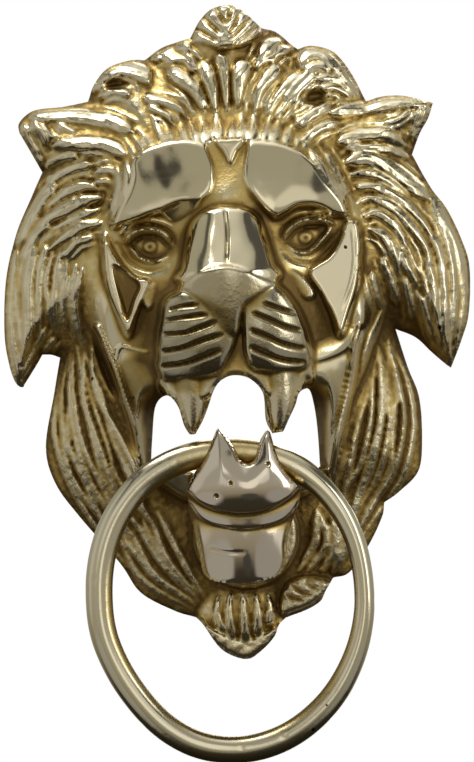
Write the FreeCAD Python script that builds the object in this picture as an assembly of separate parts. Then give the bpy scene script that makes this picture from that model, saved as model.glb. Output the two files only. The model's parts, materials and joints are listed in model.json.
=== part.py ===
import FreeCAD, Part
import math
import os

# A lion-head door knocker of cast brass, in millimetres.
# +X is to the right of a person who faces the door, +Z is up, and the lion looks along -Y.
# The back rim of the head lies on the door, y = 0, and the origin is on the door midway
# between the two fixing studs. "Depth" is the distance in front of the door, -y.

# ---- driving dimensions -------------------------------------------------------------------
STUD_HEIGHT = 78.0          # each fixing stud above or below the origin
STUD_RADIUS = 3.0           # M6 behind the door face
STUD_ROOT_RADIUS = 2.5      # M5 in the casting
STUD_REACH = 38.0           # how far the studs stand out behind the door face
STUD_DEPTH = 10.0           # how far they go into the casting
STUD_TIP = 1.0              # length of the tapered end
NUT_RECESS_DEPTH = 5.2
NUT_RECESS_RADIUS = 6.5
NUT_THICKNESS = 2.7
NUT_ACROSS_FLATS = 8.0

RING_BAR_RADIUS = 3.9
RING_HALF_WIDTH = 36.3      # of the bar's centre line
RING_HALF_HEIGHT = 41.4
RING_CENTRE_X = -3.7        # the ring hangs a little to the left
RING_CENTRE_Z = -75.4
RING_TOP_POWER = 2.2        # the top is squarer than an ellipse
RING_BOTTOM_POWER = 2.0
RING_DEPTH = 35.0
PIVOT_X = 1.8               # middle of the saddle behind the lower fangs
RING_GAP = 0.25             # between the bar and the saddle

JAW_X = 1.6
JAW_SEAT_DEPTH = 18.0       # face of the throat wall that the jaw is screwed to
JAW_SEAT_Z = -57.5
JAW_STEM_HALF_WIDTH = 13.5
JAW_STEM_HALF_HEIGHT = 13.2
THROAT_WALL_BACK = 12.5
SCREW_SPACING = 14.0
SCREW_Z = -58.0
SCREW_RADIUS = 2.5          # M5
SCREW_TIP_DEPTH = 28.0
SCREW_HEAD_RADIUS = 4.3
SCREW_HEAD_HEIGHT = 3.5
SCREW_SOCKET = 4.0          # across the flats
SCREW_SOCKET_DEPTH = 2.3
SPOT_FACE_RADIUS = 5.6      # room for each screw's head in the back of the casting
WASHER_THICKNESS = 1.2
WASHER_RADIUS = 4.5
WASHER_SPLIT = 0.8
THREAD_GAP = 0.05
BEYOND = 1.0                # how far a cutting shape runs past the face that it cuts

MANE_CENTRE = (0.0, -2.0)   # x, z that the mane's tiers shrink towards
MANE_TIERS = [(1.0, 0.0), (1.0, 7.0), (0.93, 13.0), (0.8, 19.0), (0.66, 23.0)]
POCKET_TIERS = [(1.0, -1.0), (1.0, 4.0), (0.93, 10.0), (0.8, 14.5), (0.64, 18.0)]

# Outline of the head from the front, as x, z: each row is one smooth stretch between corners.
HEAD_OUTLINE = [
    [(-8, 82.5), (-5.3, 87.1), (1, 91.4), (6.9, 89.7), (12, 84.7)],
    [(12, 84.7), (16.5, 83), (20.5, 79)],
    [(20.5, 79), (26, 79), (34.3, 74.7), (40.7, 62.7)],
    [(40.7, 62.7), (50.3, 64), (59.5, 61.6)],
    [(59.5, 61.6), (55.4, 53.1), (53, 47.3)],
    [(53, 47.3), (62.1, 31.5), (67.8, 14.7), (67, 2.1), (61.4, -13.2)],
    [(61.4, -13.2), (55.9, -8.3), (46.2, -1.6)],
    [(46.2, -1.6), (51.2, -18.2), (52.4, -32), (49.5, -44), (40.9, -50.3)],
    [(40.9, -50.3), (35.8, -62.5), (25, -71.5)],
    [(25, -71.5), (19.5, -78.8), (9.7, -83.4)],
    [(9.7, -83.4), (6.5, -89), (0, -92.8), (-6.5, -89.7), (-11.3, -82.7)],
    [(-11.3, -82.7), (-19.6, -78.2), (-28.8, -72.7)],
    [(-28.8, -72.7), (-40.7, -56.4), (-49.1, -44.8), (-53.7, -30.5), (-50.7, -15.7), (-48.6, -5.6)],
    [(-48.6, -5.6), (-53.6, -4.9), (-59.7, -13.9)],
    [(-59.7, -13.9), (-63.9, 2), (-61.3, 23.3), (-51.3, 46.8)],
    [(-51.3, 46.8), (-55.5, 54.5), (-57.6, 59.8)],
    [(-57.6, 59.8), (-53.1, 64.3), (-37.6, 66.1)],
    [(-37.6, 66.1), (-31.6, 75.4), (-21.1, 77.1)],
    [(-21.1, 77.1), (-14, 81.2), (-8, 82.5)],
]

# The hollow of the back, as one smooth closed curve.
POCKET_OUTLINE = [
    (0, 67.5), (22, 66), (38, 55), (47, 40), (55, 22), (54, 8), (42, -4), (44, -34),
    (34, -52), (17, -66), (0, -67.5), (-17, -66), (-36, -50), (-45, -32), (-42, -6),
    (-53, 6), (-52, 24), (-44, 42), (-36, 57), (-20, 67),
]

# The mouth opening: its rim from the lower left corner over the top to the lower right.
MOUTH_RIM = [
    [(-24.5, -39), (-23.6, -29.8), (-18.5, -17.5), (0.5, -12.7), (20.2, -17.4), (22.9, -28), (24, -39)],
    [(24, -39), (-24.5, -39)],
]


def at(x, depth, z):
    return FreeCAD.Vector(x, -depth, z)


def curve(points):
    """One smooth edge through the points, or a straight one between two."""
    if len(points) == 2:
        return Part.makeLine(points[0], points[1])
    spline = Part.BSplineCurve()
    spline.interpolate(points)
    return spline.toShape()


def closed_curve(points):
    spline = Part.BSplineCurve()
    spline.interpolate(Points=points, PeriodicFlag=True)
    return Part.Wire([spline.toShape()])


def scaled(point, scale):
    cx, cz = MANE_CENTRE
    return (cx + scale * (point[0] - cx), cz + scale * (point[1] - cz))


def outline_wire(stretches, scale, depth):
    edges = []
    for stretch in stretches:
        places = [scaled(point, scale) for point in stretch]
        edges.append(curve([at(x, depth, z) for x, z in places]))
    return Part.Wire(edges)


def pocket_wire(scale, depth):
    places = [scaled(point, scale) for point in POCKET_OUTLINE]
    return closed_curve([at(x, depth, z) for x, z in places])


def arch_section(x, z, half_width, back, front):
    """A D-shaped section at height z: flat at the back depth and bulging to the front depth."""
    rise = front - back
    points = [
        at(x - half_width, back, z),
        at(x - 0.8 * half_width, back + 0.62 * rise, z),
        at(x, front, z),
        at(x + 0.8 * half_width, back + 0.62 * rise, z),
        at(x + half_width, back, z),
    ]
    return Part.Wire([curve(points), Part.makeLine(points[-1], points[0])])


def ellipsoid(centre, radius_x, radius_y, radius_z):
    shape = Part.makeSphere(1.0)
    matrix = FreeCAD.Matrix()
    matrix.scale(radius_x, radius_y, radius_z)
    shape = shape.transformGeometry(matrix)
    shape.translate(centre)
    return shape


def tapered(start, end, start_radius, end_radius):
    """A round taper between two points, with round ends."""
    direction = end - start
    cone = Part.makeCone(start_radius, end_radius, direction.Length, start, direction)
    return cone.fuse([Part.makeSphere(start_radius, start), Part.makeSphere(end_radius, end)])


def along_y(radius, front_depth, back_depth, x, z):
    """A cylinder square to the door, between two depths."""
    return Part.makeCylinder(radius, front_depth - back_depth, at(x, front_depth, z), FreeCAD.Vector(0, 1, 0))


def fuse_all(shapes):
    return shapes[0].fuse(shapes[1:]).removeSplitter()


# ---- the ring's centre line, which also shapes the saddle ---------------------------------
def ring_line_z(x):
    """Height of the upper half of the ring's centre line at x."""
    across = abs(x - RING_CENTRE_X) / RING_HALF_WIDTH
    return RING_CENTRE_Z + RING_HALF_HEIGHT * (1 - across ** RING_TOP_POWER) ** (1 / RING_TOP_POWER)


def ring_line_point(angle):
    """A point of the centre line, with the angle from the top and growing to the right."""
    power = RING_TOP_POWER if math.cos(angle) > 0 else RING_BOTTOM_POWER
    across = math.copysign(abs(math.sin(angle)) ** (2 / power), math.sin(angle))
    up = math.copysign(abs(math.cos(angle)) ** (2 / power), math.cos(angle))
    return at(RING_CENTRE_X + RING_HALF_WIDTH * across, RING_DEPTH, RING_CENTRE_Z + RING_HALF_HEIGHT * up)


PIVOT_Z = ring_line_z(PIVOT_X)


def knocker_ring():
    points = [ring_line_point(math.radians(angle)) for angle in range(0, 360, 20)]
    path = closed_curve(points)
    start = path.Edges[0].Curve
    bar = Part.Wire([Part.makeCircle(RING_BAR_RADIUS, points[0], start.tangent(0)[0])])
    return path.makePipeShell([bar], True, False)


def ring_sweep_room():
    """The space that the bar needs beside the jaw as it turns about the pivot."""
    points = []
    for x in (-22, -16, -9, -3, PIVOT_X, 7, 12, 18, 22):
        slope = (ring_line_z(x + 0.5) - ring_line_z(x - 0.5))
        bar_half_height = RING_BAR_RADIUS * math.hypot(1, slope)
        reach = abs(ring_line_z(x) - PIVOT_Z) + bar_half_height + RING_GAP
        points.append(at(x, RING_DEPTH, PIVOT_Z + reach))
    left_end = at(points[0].x, RING_DEPTH, PIVOT_Z)
    right_end = at(points[-1].x, RING_DEPTH, PIVOT_Z)
    wire = Part.Wire([
        Part.makeLine(left_end, points[0]),
        curve(points),
        Part.makeLine(points[-1], right_end),
        Part.makeLine(right_end, left_end),
    ])
    return Part.Face(wire).revolve(at(0, RING_DEPTH, PIVOT_Z), FreeCAD.Vector(1, 0, 0), 360)


# ---- the head -----------------------------------------------------------------------------
def mane_body():
    tiers = [outline_wire(HEAD_OUTLINE, scale, depth) for scale, depth in MANE_TIERS]
    body = Part.makeLoft(tiers, True, True)
    # the lower mane thins towards the chin, which leaves the ring room to swing back
    corners = [at(-80, 24, -30), at(-80, 12.5, -95), at(-80, 60, -95), at(-80, 60, -30)]
    front = Part.Face(Part.makePolygon(corners + corners[:1]))
    return body.cut(front.extrude(FreeCAD.Vector(160, 0, 0)))


def face_body():
    sections = [
        (57, 15, 22), (46, 26, 30), (34, 34, 34), (18, 36, 33), (2, 34, 31), (-16, 32, 28), (-40, 29, 22),
    ]
    wires = [arch_section(0, z, half_width, 12, front) for z, half_width, front in sections]
    return Part.makeLoft(wires, True, False)


def nose():
    sections = [(38, 5, 28, 35.5), (27, 7, 28, 40), (14, 13.5, 30, 46.5), (5, 9.5, 32, 50), (-1, 3, 34, 49)]
    wires = [arch_section(0, z, half_width, back, front) for z, half_width, back, front in sections]
    return Part.makeLoft(wires, True, False)


def muzzle_pad(side):
    return ellipsoid(at(side * 10.8, 35.5, -3.5), 10.6, 12.5, 12.8)


def brow(side):
    return tapered(at(side * 9, 31.5, 35), at(side * 28, 28, 32), 4.6, 3.4)


def eye_socket(side):
    return Part.makeSphere(6.5, at(side * 21.7, 35.5, 25))


def eyeball(side):
    return Part.makeSphere(5.2, at(side * 21.7, 25.5, 25))


def ear(side):
    back = [(38, 64), (54, 63), (57, 60), (51, 48), (36, 44)]
    wires = []
    for scale, depth in ((1.0, 5), (0.94, 14), (0.66, 21)):
        corners = [at(side * (42 + scale * (x - 42)), depth, 54 + scale * (z - 54)) for x, z in back]
        wires.append(Part.makePolygon(corners + corners[:1]))
    return Part.makeLoft(wires, True, True)


def upper_fang(side):
    return tapered(at(side * 12.0, 37, -12), at(side * 12.2, 39, -28.2), 4.2, 0.8)


def mouth_opening():
    wire = outline_wire(MOUTH_RIM, 1.0, -2)
    return Part.Face(wire).extrude(FreeCAD.Vector(0, -70, 0))


def back_pocket():
    tiers = [pocket_wire(scale, depth) for scale, depth in POCKET_TIERS]
    hollow = Part.makeLoft(tiers, True, True)
    return hollow.fuse(ellipsoid(at(0, 12, 16), 23, 15.5, 32))


def throat_wall():
    return along_y(19.5, JAW_SEAT_DEPTH, THROAT_WALL_BACK, JAW_X, JAW_SEAT_Z - 1)


def jaw_seat_room():
    """Clears the hair around the jaw's stem, half a millimetre wider than the stem."""
    stem = jaw_stem_section(JAW_SEAT_DEPTH, 1.0 + 0.5 / JAW_STEM_HALF_WIDTH)
    return Part.Face(stem).extrude(FreeCAD.Vector(0, -40, 0))


def head_casting():
    head = fuse_all([mane_body(), face_body()])
    for side in (-1, 1):
        head = head.fuse([ear(side), muzzle_pad(side), brow(side)])
    head = head.fuse(nose())
    for side in (-1, 1):
        head = head.cut(eye_socket(side)).fuse(eyeball(side))
    head = head.cut([mouth_opening(), back_pocket()])
    head = head.fuse([throat_wall(), upper_fang(-1), upper_fang(1)])
    head = head.cut(jaw_seat_room())
    for x in screw_places():
        head = head.cut(along_y(SCREW_RADIUS + 0.25, JAW_SEAT_DEPTH + BEYOND, THROAT_WALL_BACK - BEYOND, x, SCREW_Z))
        head = head.cut(along_y(SPOT_FACE_RADIUS, THROAT_WALL_BACK, -BEYOND, x, SCREW_Z))
    for z in (STUD_HEIGHT, -STUD_HEIGHT):
        head = head.cut(along_y(NUT_RECESS_RADIUS, NUT_RECESS_DEPTH, -BEYOND, 0, z))
        head = head.cut(along_y(STUD_ROOT_RADIUS + THREAD_GAP, STUD_DEPTH + 0.5, 0, 0, z))
    return head.removeSplitter()


# ---- the lower jaw ------------------------------------------------------------------------
def jaw_stem_section(depth, scale):
    half_width = JAW_STEM_HALF_WIDTH * scale
    half_height = JAW_STEM_HALF_HEIGHT * scale
    ellipse = Part.Ellipse(at(JAW_X, depth, JAW_SEAT_Z), half_width, half_height)
    ellipse.Axis = FreeCAD.Vector(0, 1, 0)
    return Part.Wire([ellipse.toShape()])


def lower_jaw():
    stem = Part.makeLoft([jaw_stem_section(JAW_SEAT_DEPTH, 1.0), jaw_stem_section(36, 0.93)], True, True)
    chin = ellipsoid(at(JAW_X, 33, JAW_SEAT_Z - 1.5), 12.6, 7.0, 12.0)
    lips = ellipsoid(at(JAW_X, 37, -50), 15.4, 8.5, 5.2)
    dome = ellipsoid(at(JAW_X, 37, -44.6), 15.7, 10.8, 7.4)
    left_fang = tapered(at(-5.0, 40.5, -39.5), at(-4.5, 41.5, -28), 4.4, 0.8)
    right_fang = tapered(at(8.6, 40.5, -40), at(8.7, 41.5, -29.3), 4.4, 0.8)
    jaw = fuse_all([stem, chin, lips, dome, left_fang, right_fang])
    jaw = jaw.cut(ring_sweep_room())
    for x in screw_places():
        hole_end = SCREW_TIP_DEPTH + BEYOND
        jaw = jaw.cut(along_y(SCREW_RADIUS + THREAD_GAP, hole_end, JAW_SEAT_DEPTH - BEYOND, x, SCREW_Z))
    return jaw.removeSplitter()


# ---- fasteners ----------------------------------------------------------------------------
def screw_places():
    return (JAW_X - SCREW_SPACING / 2, JAW_X + SCREW_SPACING / 2)


def hexagon(across_flats, front_depth, back_depth, x, z):
    """A hexagonal prism square to the door."""
    corner = across_flats / math.sqrt(3)
    points = []
    for step in range(7):
        turn = math.radians(60 * step)
        points.append(at(x + corner * math.cos(turn), front_depth, z + corner * math.sin(turn)))
    face = Part.Face(Part.makePolygon(points))
    return face.extrude(FreeCAD.Vector(0, front_depth - back_depth, 0))


def jaw_washer(x):
    front = THROAT_WALL_BACK
    back = THROAT_WALL_BACK - WASHER_THICKNESS
    disc = along_y(WASHER_RADIUS, front, back, x, SCREW_Z)
    disc = disc.cut(along_y(SCREW_RADIUS + 0.15, front + BEYOND, back - BEYOND, x, SCREW_Z))
    # the split of the spring washer
    corner = FreeCAD.Vector(x - WASHER_SPLIT / 2, -front - BEYOND, SCREW_Z)
    split = Part.makeBox(WASHER_SPLIT, WASHER_THICKNESS + 2 * BEYOND, WASHER_RADIUS + BEYOND, corner)
    return disc.cut(split)


def jaw_screw(x):
    seat = THROAT_WALL_BACK - WASHER_THICKNESS
    back = seat - SCREW_HEAD_HEIGHT
    head = along_y(SCREW_HEAD_RADIUS, seat, back, x, SCREW_Z)
    head = head.makeChamfer(0.5, [head.Edges[0], head.Edges[2]])
    shank = along_y(SCREW_RADIUS, SCREW_TIP_DEPTH, seat, x, SCREW_Z)
    socket = hexagon(SCREW_SOCKET, back + SCREW_SOCKET_DEPTH, back - BEYOND, x, SCREW_Z)
    return head.fuse(shank).cut(socket).removeSplitter()


def fixing_stud(z):
    """A double-ended stud: the thinner end in the casting and the thicker one through the door."""
    root = along_y(STUD_ROOT_RADIUS, STUD_DEPTH, 0, 0, z)
    body_end = STUD_TIP - STUD_REACH
    body = along_y(STUD_RADIUS, 0, body_end, 0, z)
    tip = Part.makeCone(STUD_RADIUS, STUD_ROOT_RADIUS, STUD_TIP, at(0, body_end, z), FreeCAD.Vector(0, 1, 0))
    return root.fuse([body, tip])


def stud_lock_nut(z):
    back = NUT_RECESS_DEPTH - NUT_THICKNESS
    nut = hexagon(NUT_ACROSS_FLATS, NUT_RECESS_DEPTH, back, 0, z)
    return nut.cut(along_y(STUD_ROOT_RADIUS + THREAD_GAP, NUT_RECESS_DEPTH + BEYOND, back - BEYOND, 0, z))


def write(node, shape):
    shape.Solids[0].exportStep("parts/" + node + ".step")


def main():
    os.makedirs("parts", exist_ok=True)
    write("head_casting", head_casting())
    write("lower_jaw", lower_jaw())
    write("knocker_ring", knocker_ring())
    for side, x in zip(("left", "right"), screw_places()):
        write("jaw_screw_" + side, jaw_screw(x))
        write("jaw_washer_" + side, jaw_washer(x))
    for level, z in (("upper", STUD_HEIGHT), ("lower", -STUD_HEIGHT)):
        write("fixing_stud_" + level, fixing_stud(z))
        write("stud_lock_nut_" + level, stud_lock_nut(z))


main()
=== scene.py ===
import json
import math

import bpy
import numpy as np
from mathutils import Matrix, Vector


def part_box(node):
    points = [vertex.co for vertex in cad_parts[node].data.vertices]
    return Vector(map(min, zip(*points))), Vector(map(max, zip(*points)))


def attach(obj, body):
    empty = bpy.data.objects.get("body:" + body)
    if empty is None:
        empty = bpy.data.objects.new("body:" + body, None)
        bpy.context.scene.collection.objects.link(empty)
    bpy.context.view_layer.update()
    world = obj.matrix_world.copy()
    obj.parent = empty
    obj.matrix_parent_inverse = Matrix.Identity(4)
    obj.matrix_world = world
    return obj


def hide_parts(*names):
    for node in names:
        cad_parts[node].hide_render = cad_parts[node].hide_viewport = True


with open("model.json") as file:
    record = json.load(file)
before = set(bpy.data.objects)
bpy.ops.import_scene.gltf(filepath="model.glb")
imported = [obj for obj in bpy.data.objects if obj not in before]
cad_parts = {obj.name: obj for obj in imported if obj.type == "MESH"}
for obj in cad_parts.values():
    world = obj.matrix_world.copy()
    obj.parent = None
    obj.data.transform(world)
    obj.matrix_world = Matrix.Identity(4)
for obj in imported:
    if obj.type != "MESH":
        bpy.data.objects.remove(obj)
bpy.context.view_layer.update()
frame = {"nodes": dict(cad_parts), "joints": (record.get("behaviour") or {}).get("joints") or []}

# A lion-head door knocker in cast brass. Sizes are in millimetres in the part's own frame: x to
# the right, z up, and depth in front of the door, which is -y. Outlines and lines are (x, z).
MM = 0.001
rng = np.random.default_rng(7)

HEAD_LOW, HEAD_HIGH = [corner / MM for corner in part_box("head_casting")]
JAW_LOW, JAW_HIGH = [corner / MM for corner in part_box("lower_jaw")]
RING_LOW, RING_HIGH = [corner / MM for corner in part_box("knocker_ring")]
STUD_HEIGHT = (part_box("fixing_stud_upper")[0].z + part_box("fixing_stud_upper")[1].z) / 2 / MM
PIVOT = Vector(frame["joints"][0]["pos_m"]) / MM
NOSE_DEPTH = -HEAD_LOW.y
THROAT_BACK = -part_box("jaw_washer_left")[0].y / MM
JAW_SEAT = -JAW_HIGH.y
JAW_X = (JAW_LOW.x + JAW_HIGH.x) / 2
STUD_DEPTH = -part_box("fixing_stud_upper")[0].y / MM
STUD_ROOM = STUD_DEPTH + 3.0        # the metal in front of each stud
SEAT_HEIGHT = -57.5                 # middle of the seat that the jaw is screwed to
RING_BAR = (RING_HIGH.y - RING_LOW.y) / 2
RING_DEPTH = -(RING_HIGH.y + RING_LOW.y) / 2
GRID = 0.4

# How far the middle of each sculpted form stands in front of the door
FOREHEAD_DEPTH = 34.9
EYE_DEPTH = 26.6
BRIDGE_DEPTH = 37.0
LEATHER_DEPTH = 48.2
PAD_DEPTH = 46.2
UPPER_LIP_DEPTH = 42.4
FANG_DEPTH = 41.6
MOUTH_WALL_DEPTH = 12.5
LEDGE_DEPTH = 27.5
DOME_DEPTH = 38.6
LOWER_LIP_DEPTH = 43.4
CHIN_DEPTH = 41.7


# ---- curves and distances ----
def smooth_path(points, closed=False, pieces=8):
    """A smooth line through the points, as an array of places."""
    points = np.array(points, float)
    if len(points) == 2 and not closed:
        return points[0] + np.linspace(0, 1, pieces)[:, None] * (points[1] - points[0])
    if closed:
        around = np.vstack([points[-1], points, points[:2]])
    else:
        around = np.vstack([2 * points[0] - points[1], points, 2 * points[-1] - points[-2]])
    t = np.linspace(0, 1, pieces, endpoint=False)[:, None]
    stretches = []
    for a, b, c, d in zip(around[:-3], around[1:-2], around[2:-1], around[3:]):
        cubic = 2 * a - 5 * b + 4 * c - d
        stretches.append(0.5 * (2 * b + (c - a) * t + cubic * t**2 + (3 * b - a - 3 * c + d) * t**3))
    line = np.vstack(stretches)
    return line if closed else np.vstack([line, points[-1]])


def cornered_path(stretches):
    """A closed line of smooth stretches, each of which runs to the corner where the next begins."""
    following = stretches[1:] + stretches[:1]
    lines = [smooth_path(stretch + after[:1])[:-1] for stretch, after in zip(stretches, following)]
    return np.vstack(lines)


def along_path(x, z, path):
    """How far each place is to the side of the path, and how far along it from 0 to 1."""
    lengths = np.hypot(*np.diff(path, axis=0).T)
    starts = np.concatenate([[0], np.cumsum(lengths)])
    nearest = np.full(x.shape, 1e9)
    side = np.zeros(x.shape)
    along = np.zeros(x.shape)
    for (ax, az), (bx, bz), length, start in zip(path[:-1], path[1:], lengths, starts):
        if length < 1e-9:
            continue
        dx, dz = (bx - ax) / length, (bz - az) / length
        t = np.clip((x - ax) * dx + (z - az) * dz, 0, length)
        ox, oz = x - ax - t * dx, z - az - t * dz
        distance = np.hypot(ox, oz)
        closer = distance < nearest
        nearest = np.where(closer, distance, nearest)
        side = np.where(closer, np.copysign(distance, ox * dz - oz * dx), side)
        along = np.where(closer, (start + t) / starts[-1], along)
    return side, along


def inside_distance(x, z, outline):
    """Distance to a closed outline, positive inside it."""
    closed = np.vstack([outline, outline[:1]])
    nearest = np.full(x.shape, 1e9)
    inside = np.zeros(x.shape, bool)
    for (ax, az), (bx, bz) in zip(closed[:-1], closed[1:]):
        dx, dz = bx - ax, bz - az
        t = np.clip(((x - ax) * dx + (z - az) * dz) / (dx * dx + dz * dz + 1e-12), 0, 1)
        nearest = np.minimum(nearest, np.hypot(x - ax - t * dx, z - az - t * dz))
        if dz:
            inside ^= ((az > z) != (bz > z)) & (x < dx * (z - az) / dz + ax)
    return np.where(inside, nearest, -nearest)


def ramp(value, low, high):
    """0 below low, 1 above high and smooth between."""
    t = np.clip((value - low) / (high - low), 0, 1)
    return t * t * (3 - 2 * t)


def blurred(values, reach, step, weight=None):
    """Gaussian blur with the reach in millimetres, counting only places with weight."""
    if weight is None:
        weight = np.ones_like(values)
    sigma = reach / step
    half = max(1, int(2.5 * sigma))
    kernel = np.exp(-0.5 * (np.arange(-half, half + 1) / sigma) ** 2)
    results = []
    for field in (values * weight, weight):
        for axis in (0, 1):
            padded = np.pad(field, [(half, half) if a == axis else (0, 0) for a in (0, 1)], mode="edge")
            total = np.zeros_like(field)
            for shift, factor in enumerate(kernel):
                part = [slice(None), slice(None)]
                part[axis] = slice(shift, shift + field.shape[axis])
                total += factor * padded[tuple(part)]
            field = total
        results.append(field)
    return results[0] / np.maximum(results[1], 1e-9)


def eased_walls(depth, step):
    """The same relief with its steepest walls smoothed, so that they show no steps from the side."""
    slope = np.hypot(*np.gradient(depth, step))
    steep = ramp(blurred(slope, 0.5, step), 1.7, 3.6)
    return depth + steep * (blurred(depth, 0.65, step) - depth)


def wavy_noise(x, z, size, seed, octaves=3):
    """Smooth noise of about the given size, from -1 to 1, as a sum of turned waves."""
    draw = np.random.default_rng(seed)
    total = np.zeros_like(x)
    for octave in range(octaves):
        for _ in range(7):
            turn = draw.uniform(0, 2 * math.pi)
            pace = 2 * math.pi / size * 2**octave * draw.uniform(0.7, 1.4)
            wave = pace * (x * math.cos(turn) + z * math.sin(turn)) + draw.uniform(0, 2 * math.pi)
            total += np.sin(wave) / 2.6 / 1.6**octave
    return np.clip(total / 2, -1, 1)


class Relief:
    """A grid of places facing the door, each with its depth in front of the door."""

    def __init__(self, low, high, step):
        self.step = step
        self.x, self.z = np.meshgrid(np.arange(low[0], high[0], step), np.arange(low[1], high[1], step))
        # each place has a depth, a stain that carries painted light and shade as well as patina, a matte
        # share and a painted shade
        self.depth, self.stain, self.matte, self.shade = np.zeros((4, *self.x.shape))
        self.base = self.depth

    def near(self, path, reach):
        """The part of the grid within reach of the path."""
        origin = (self.x[0, 0], self.z[0, 0])
        first = np.floor((path.min(0) - reach - origin) / self.step).astype(int)
        last = np.ceil((path.max(0) + reach - origin) / self.step).astype(int) + 1
        first = np.maximum(first, 0)
        return slice(first[1], max(last[1], 0)), slice(first[0], max(last[0], 0))

    def inside(self, points, reach=1, smooth=True):
        """The part of the grid round an outline, and how far inside it each place there is."""
        outline = smooth_path(points, closed=True) if smooth else points
        part = self.near(outline, reach)
        return part, inside_distance(self.x[part], self.z[part], outline)

    def beside(self, points, reach):
        """The part of the grid along a line, and how far beside and along it each place there is."""
        path = smooth_path(points)
        part = self.near(path, reach)
        return part, *along_path(self.x[part], self.z[part], path)

    def lock(self, points, half_width, height=2.2, lift=0.8, root=0.25, tip=0.5, strands=0,
             level=None):
        """A rounded ridge along a line, which tapers over the root and tip shares of its length."""
        part, side, along = self.beside(points, half_width)
        taper = np.ones_like(along)
        if root:
            taper *= 0.15 + 0.85 * np.clip(along / root, 0, 1) ** 0.6
        if tip:
            taper *= 0.08 + 0.92 * np.clip((1 - along) / tip, 0, 1) ** 0.7
        across = side / (half_width * taper)
        rise = height * taper**0.6 * np.sqrt(np.clip(1 - across**2, 0, 1))
        if strands:
            wander = 0.35 * np.sin(9 * along + 3 * points[0][0])
            rise -= 0.5 * taper * (1 - np.abs(np.sin((across + wander) * strands * math.pi / 2)) ** 0.6)
        floor = self.base[part] if level is None else level
        top = floor + lift * np.sin(math.pi * np.clip(0.15 + 0.7 * along, 0, 1)) + rise
        self.raise_to(part, top, np.abs(across) < 1)

    def raise_to(self, part, surface, where):
        """Lifts the chosen places of a part of the grid to a surface."""
        depth = self.depth[part]
        self.depth[part] = np.where(where, np.maximum(depth, surface), depth)

    def form(self, points, top, edge=1.5, fall=None, smooth=True):
        """A raised form with a round edge. Its top is a depth, or a function of x and z."""
        part, inside = self.inside(points, smooth=smooth)
        fall = edge if fall is None else fall
        lean = np.clip(1 - inside / edge, 0, 1)
        level = top(self.x[part], self.z[part]) if callable(top) else top
        self.raise_to(part, level - fall * (1 - np.sqrt(1 - lean**2)), inside > 0)

    def hollow(self, points, bottom, edge=1.5):
        """Presses the surface inside a smooth outline down towards a bottom depth."""
        part, inside = self.inside(points)
        pressed = np.minimum(self.depth[part], bottom)
        self.depth[part] += ramp(inside, -0.2, edge) * (pressed - self.depth[part])

    def groove(self, points, half_width, deep, root=0.2, tip=0.3):
        """A groove along a line, which fades out over its ends."""
        part, side, along = self.beside(points, half_width)
        start = np.clip(along / max(root, 1e-3), 0, 1)
        end = np.clip((1 - along) / max(tip, 1e-3), 0, 1)
        across = np.clip(np.abs(side) / half_width, 0, 1)
        self.depth[part] -= deep * np.sqrt(start * end) * np.cos(across * math.pi / 2) ** 1.3

    def darken(self, points, amount, edge=1.5, matte=0.0, shade=0.0):
        """Stains the metal inside a smooth outline, paints shade on it, and takes off some of its polish.
        """
        part, inside = self.inside(points, edge)
        share = ramp(inside, -edge, edge)
        self.stain[part] += amount * share
        self.matte[part] += matte * share
        self.shade[part] += shade * share

    def bump(self, centre, half_sizes, height):
        """A smooth mound, or a dip where the height is negative."""
        part = self.near(np.array([centre]), max(half_sizes))
        across = (self.x[part] - centre[0]) / half_sizes[0]
        up = (self.z[part] - centre[1]) / half_sizes[1]
        self.depth[part] += height * np.clip(1 - across**2 - up**2, 0, 1) ** 1.5


def skin(x, z, points):
    """A smooth surface through (x, z, depth) points, by a thin plate."""
    points = np.array(points, float)

    def bend(squared):
        return 0.5 * squared * np.log(squared + 1e-9)

    count = len(points)
    gaps = ((points[:, None, :2] - points[None, :, :2]) ** 2).sum(2)
    system = np.zeros((count + 3, count + 3))
    system[:count, :count] = bend(gaps) + 2.0 * np.eye(count)
    system[:count, count:] = np.c_[np.ones(count), points[:, :2]]
    system[count:, :count] = system[:count, count:].T
    weights = np.linalg.solve(system, np.r_[points[:, 2], 0, 0, 0])
    depth = weights[count] + weights[count + 1] * x + weights[count + 2] * z
    for (px, pz, _), weight in zip(points, weights):
        depth = depth + weight * bend((x - px) ** 2 + (z - pz) ** 2)
    return depth


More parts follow.
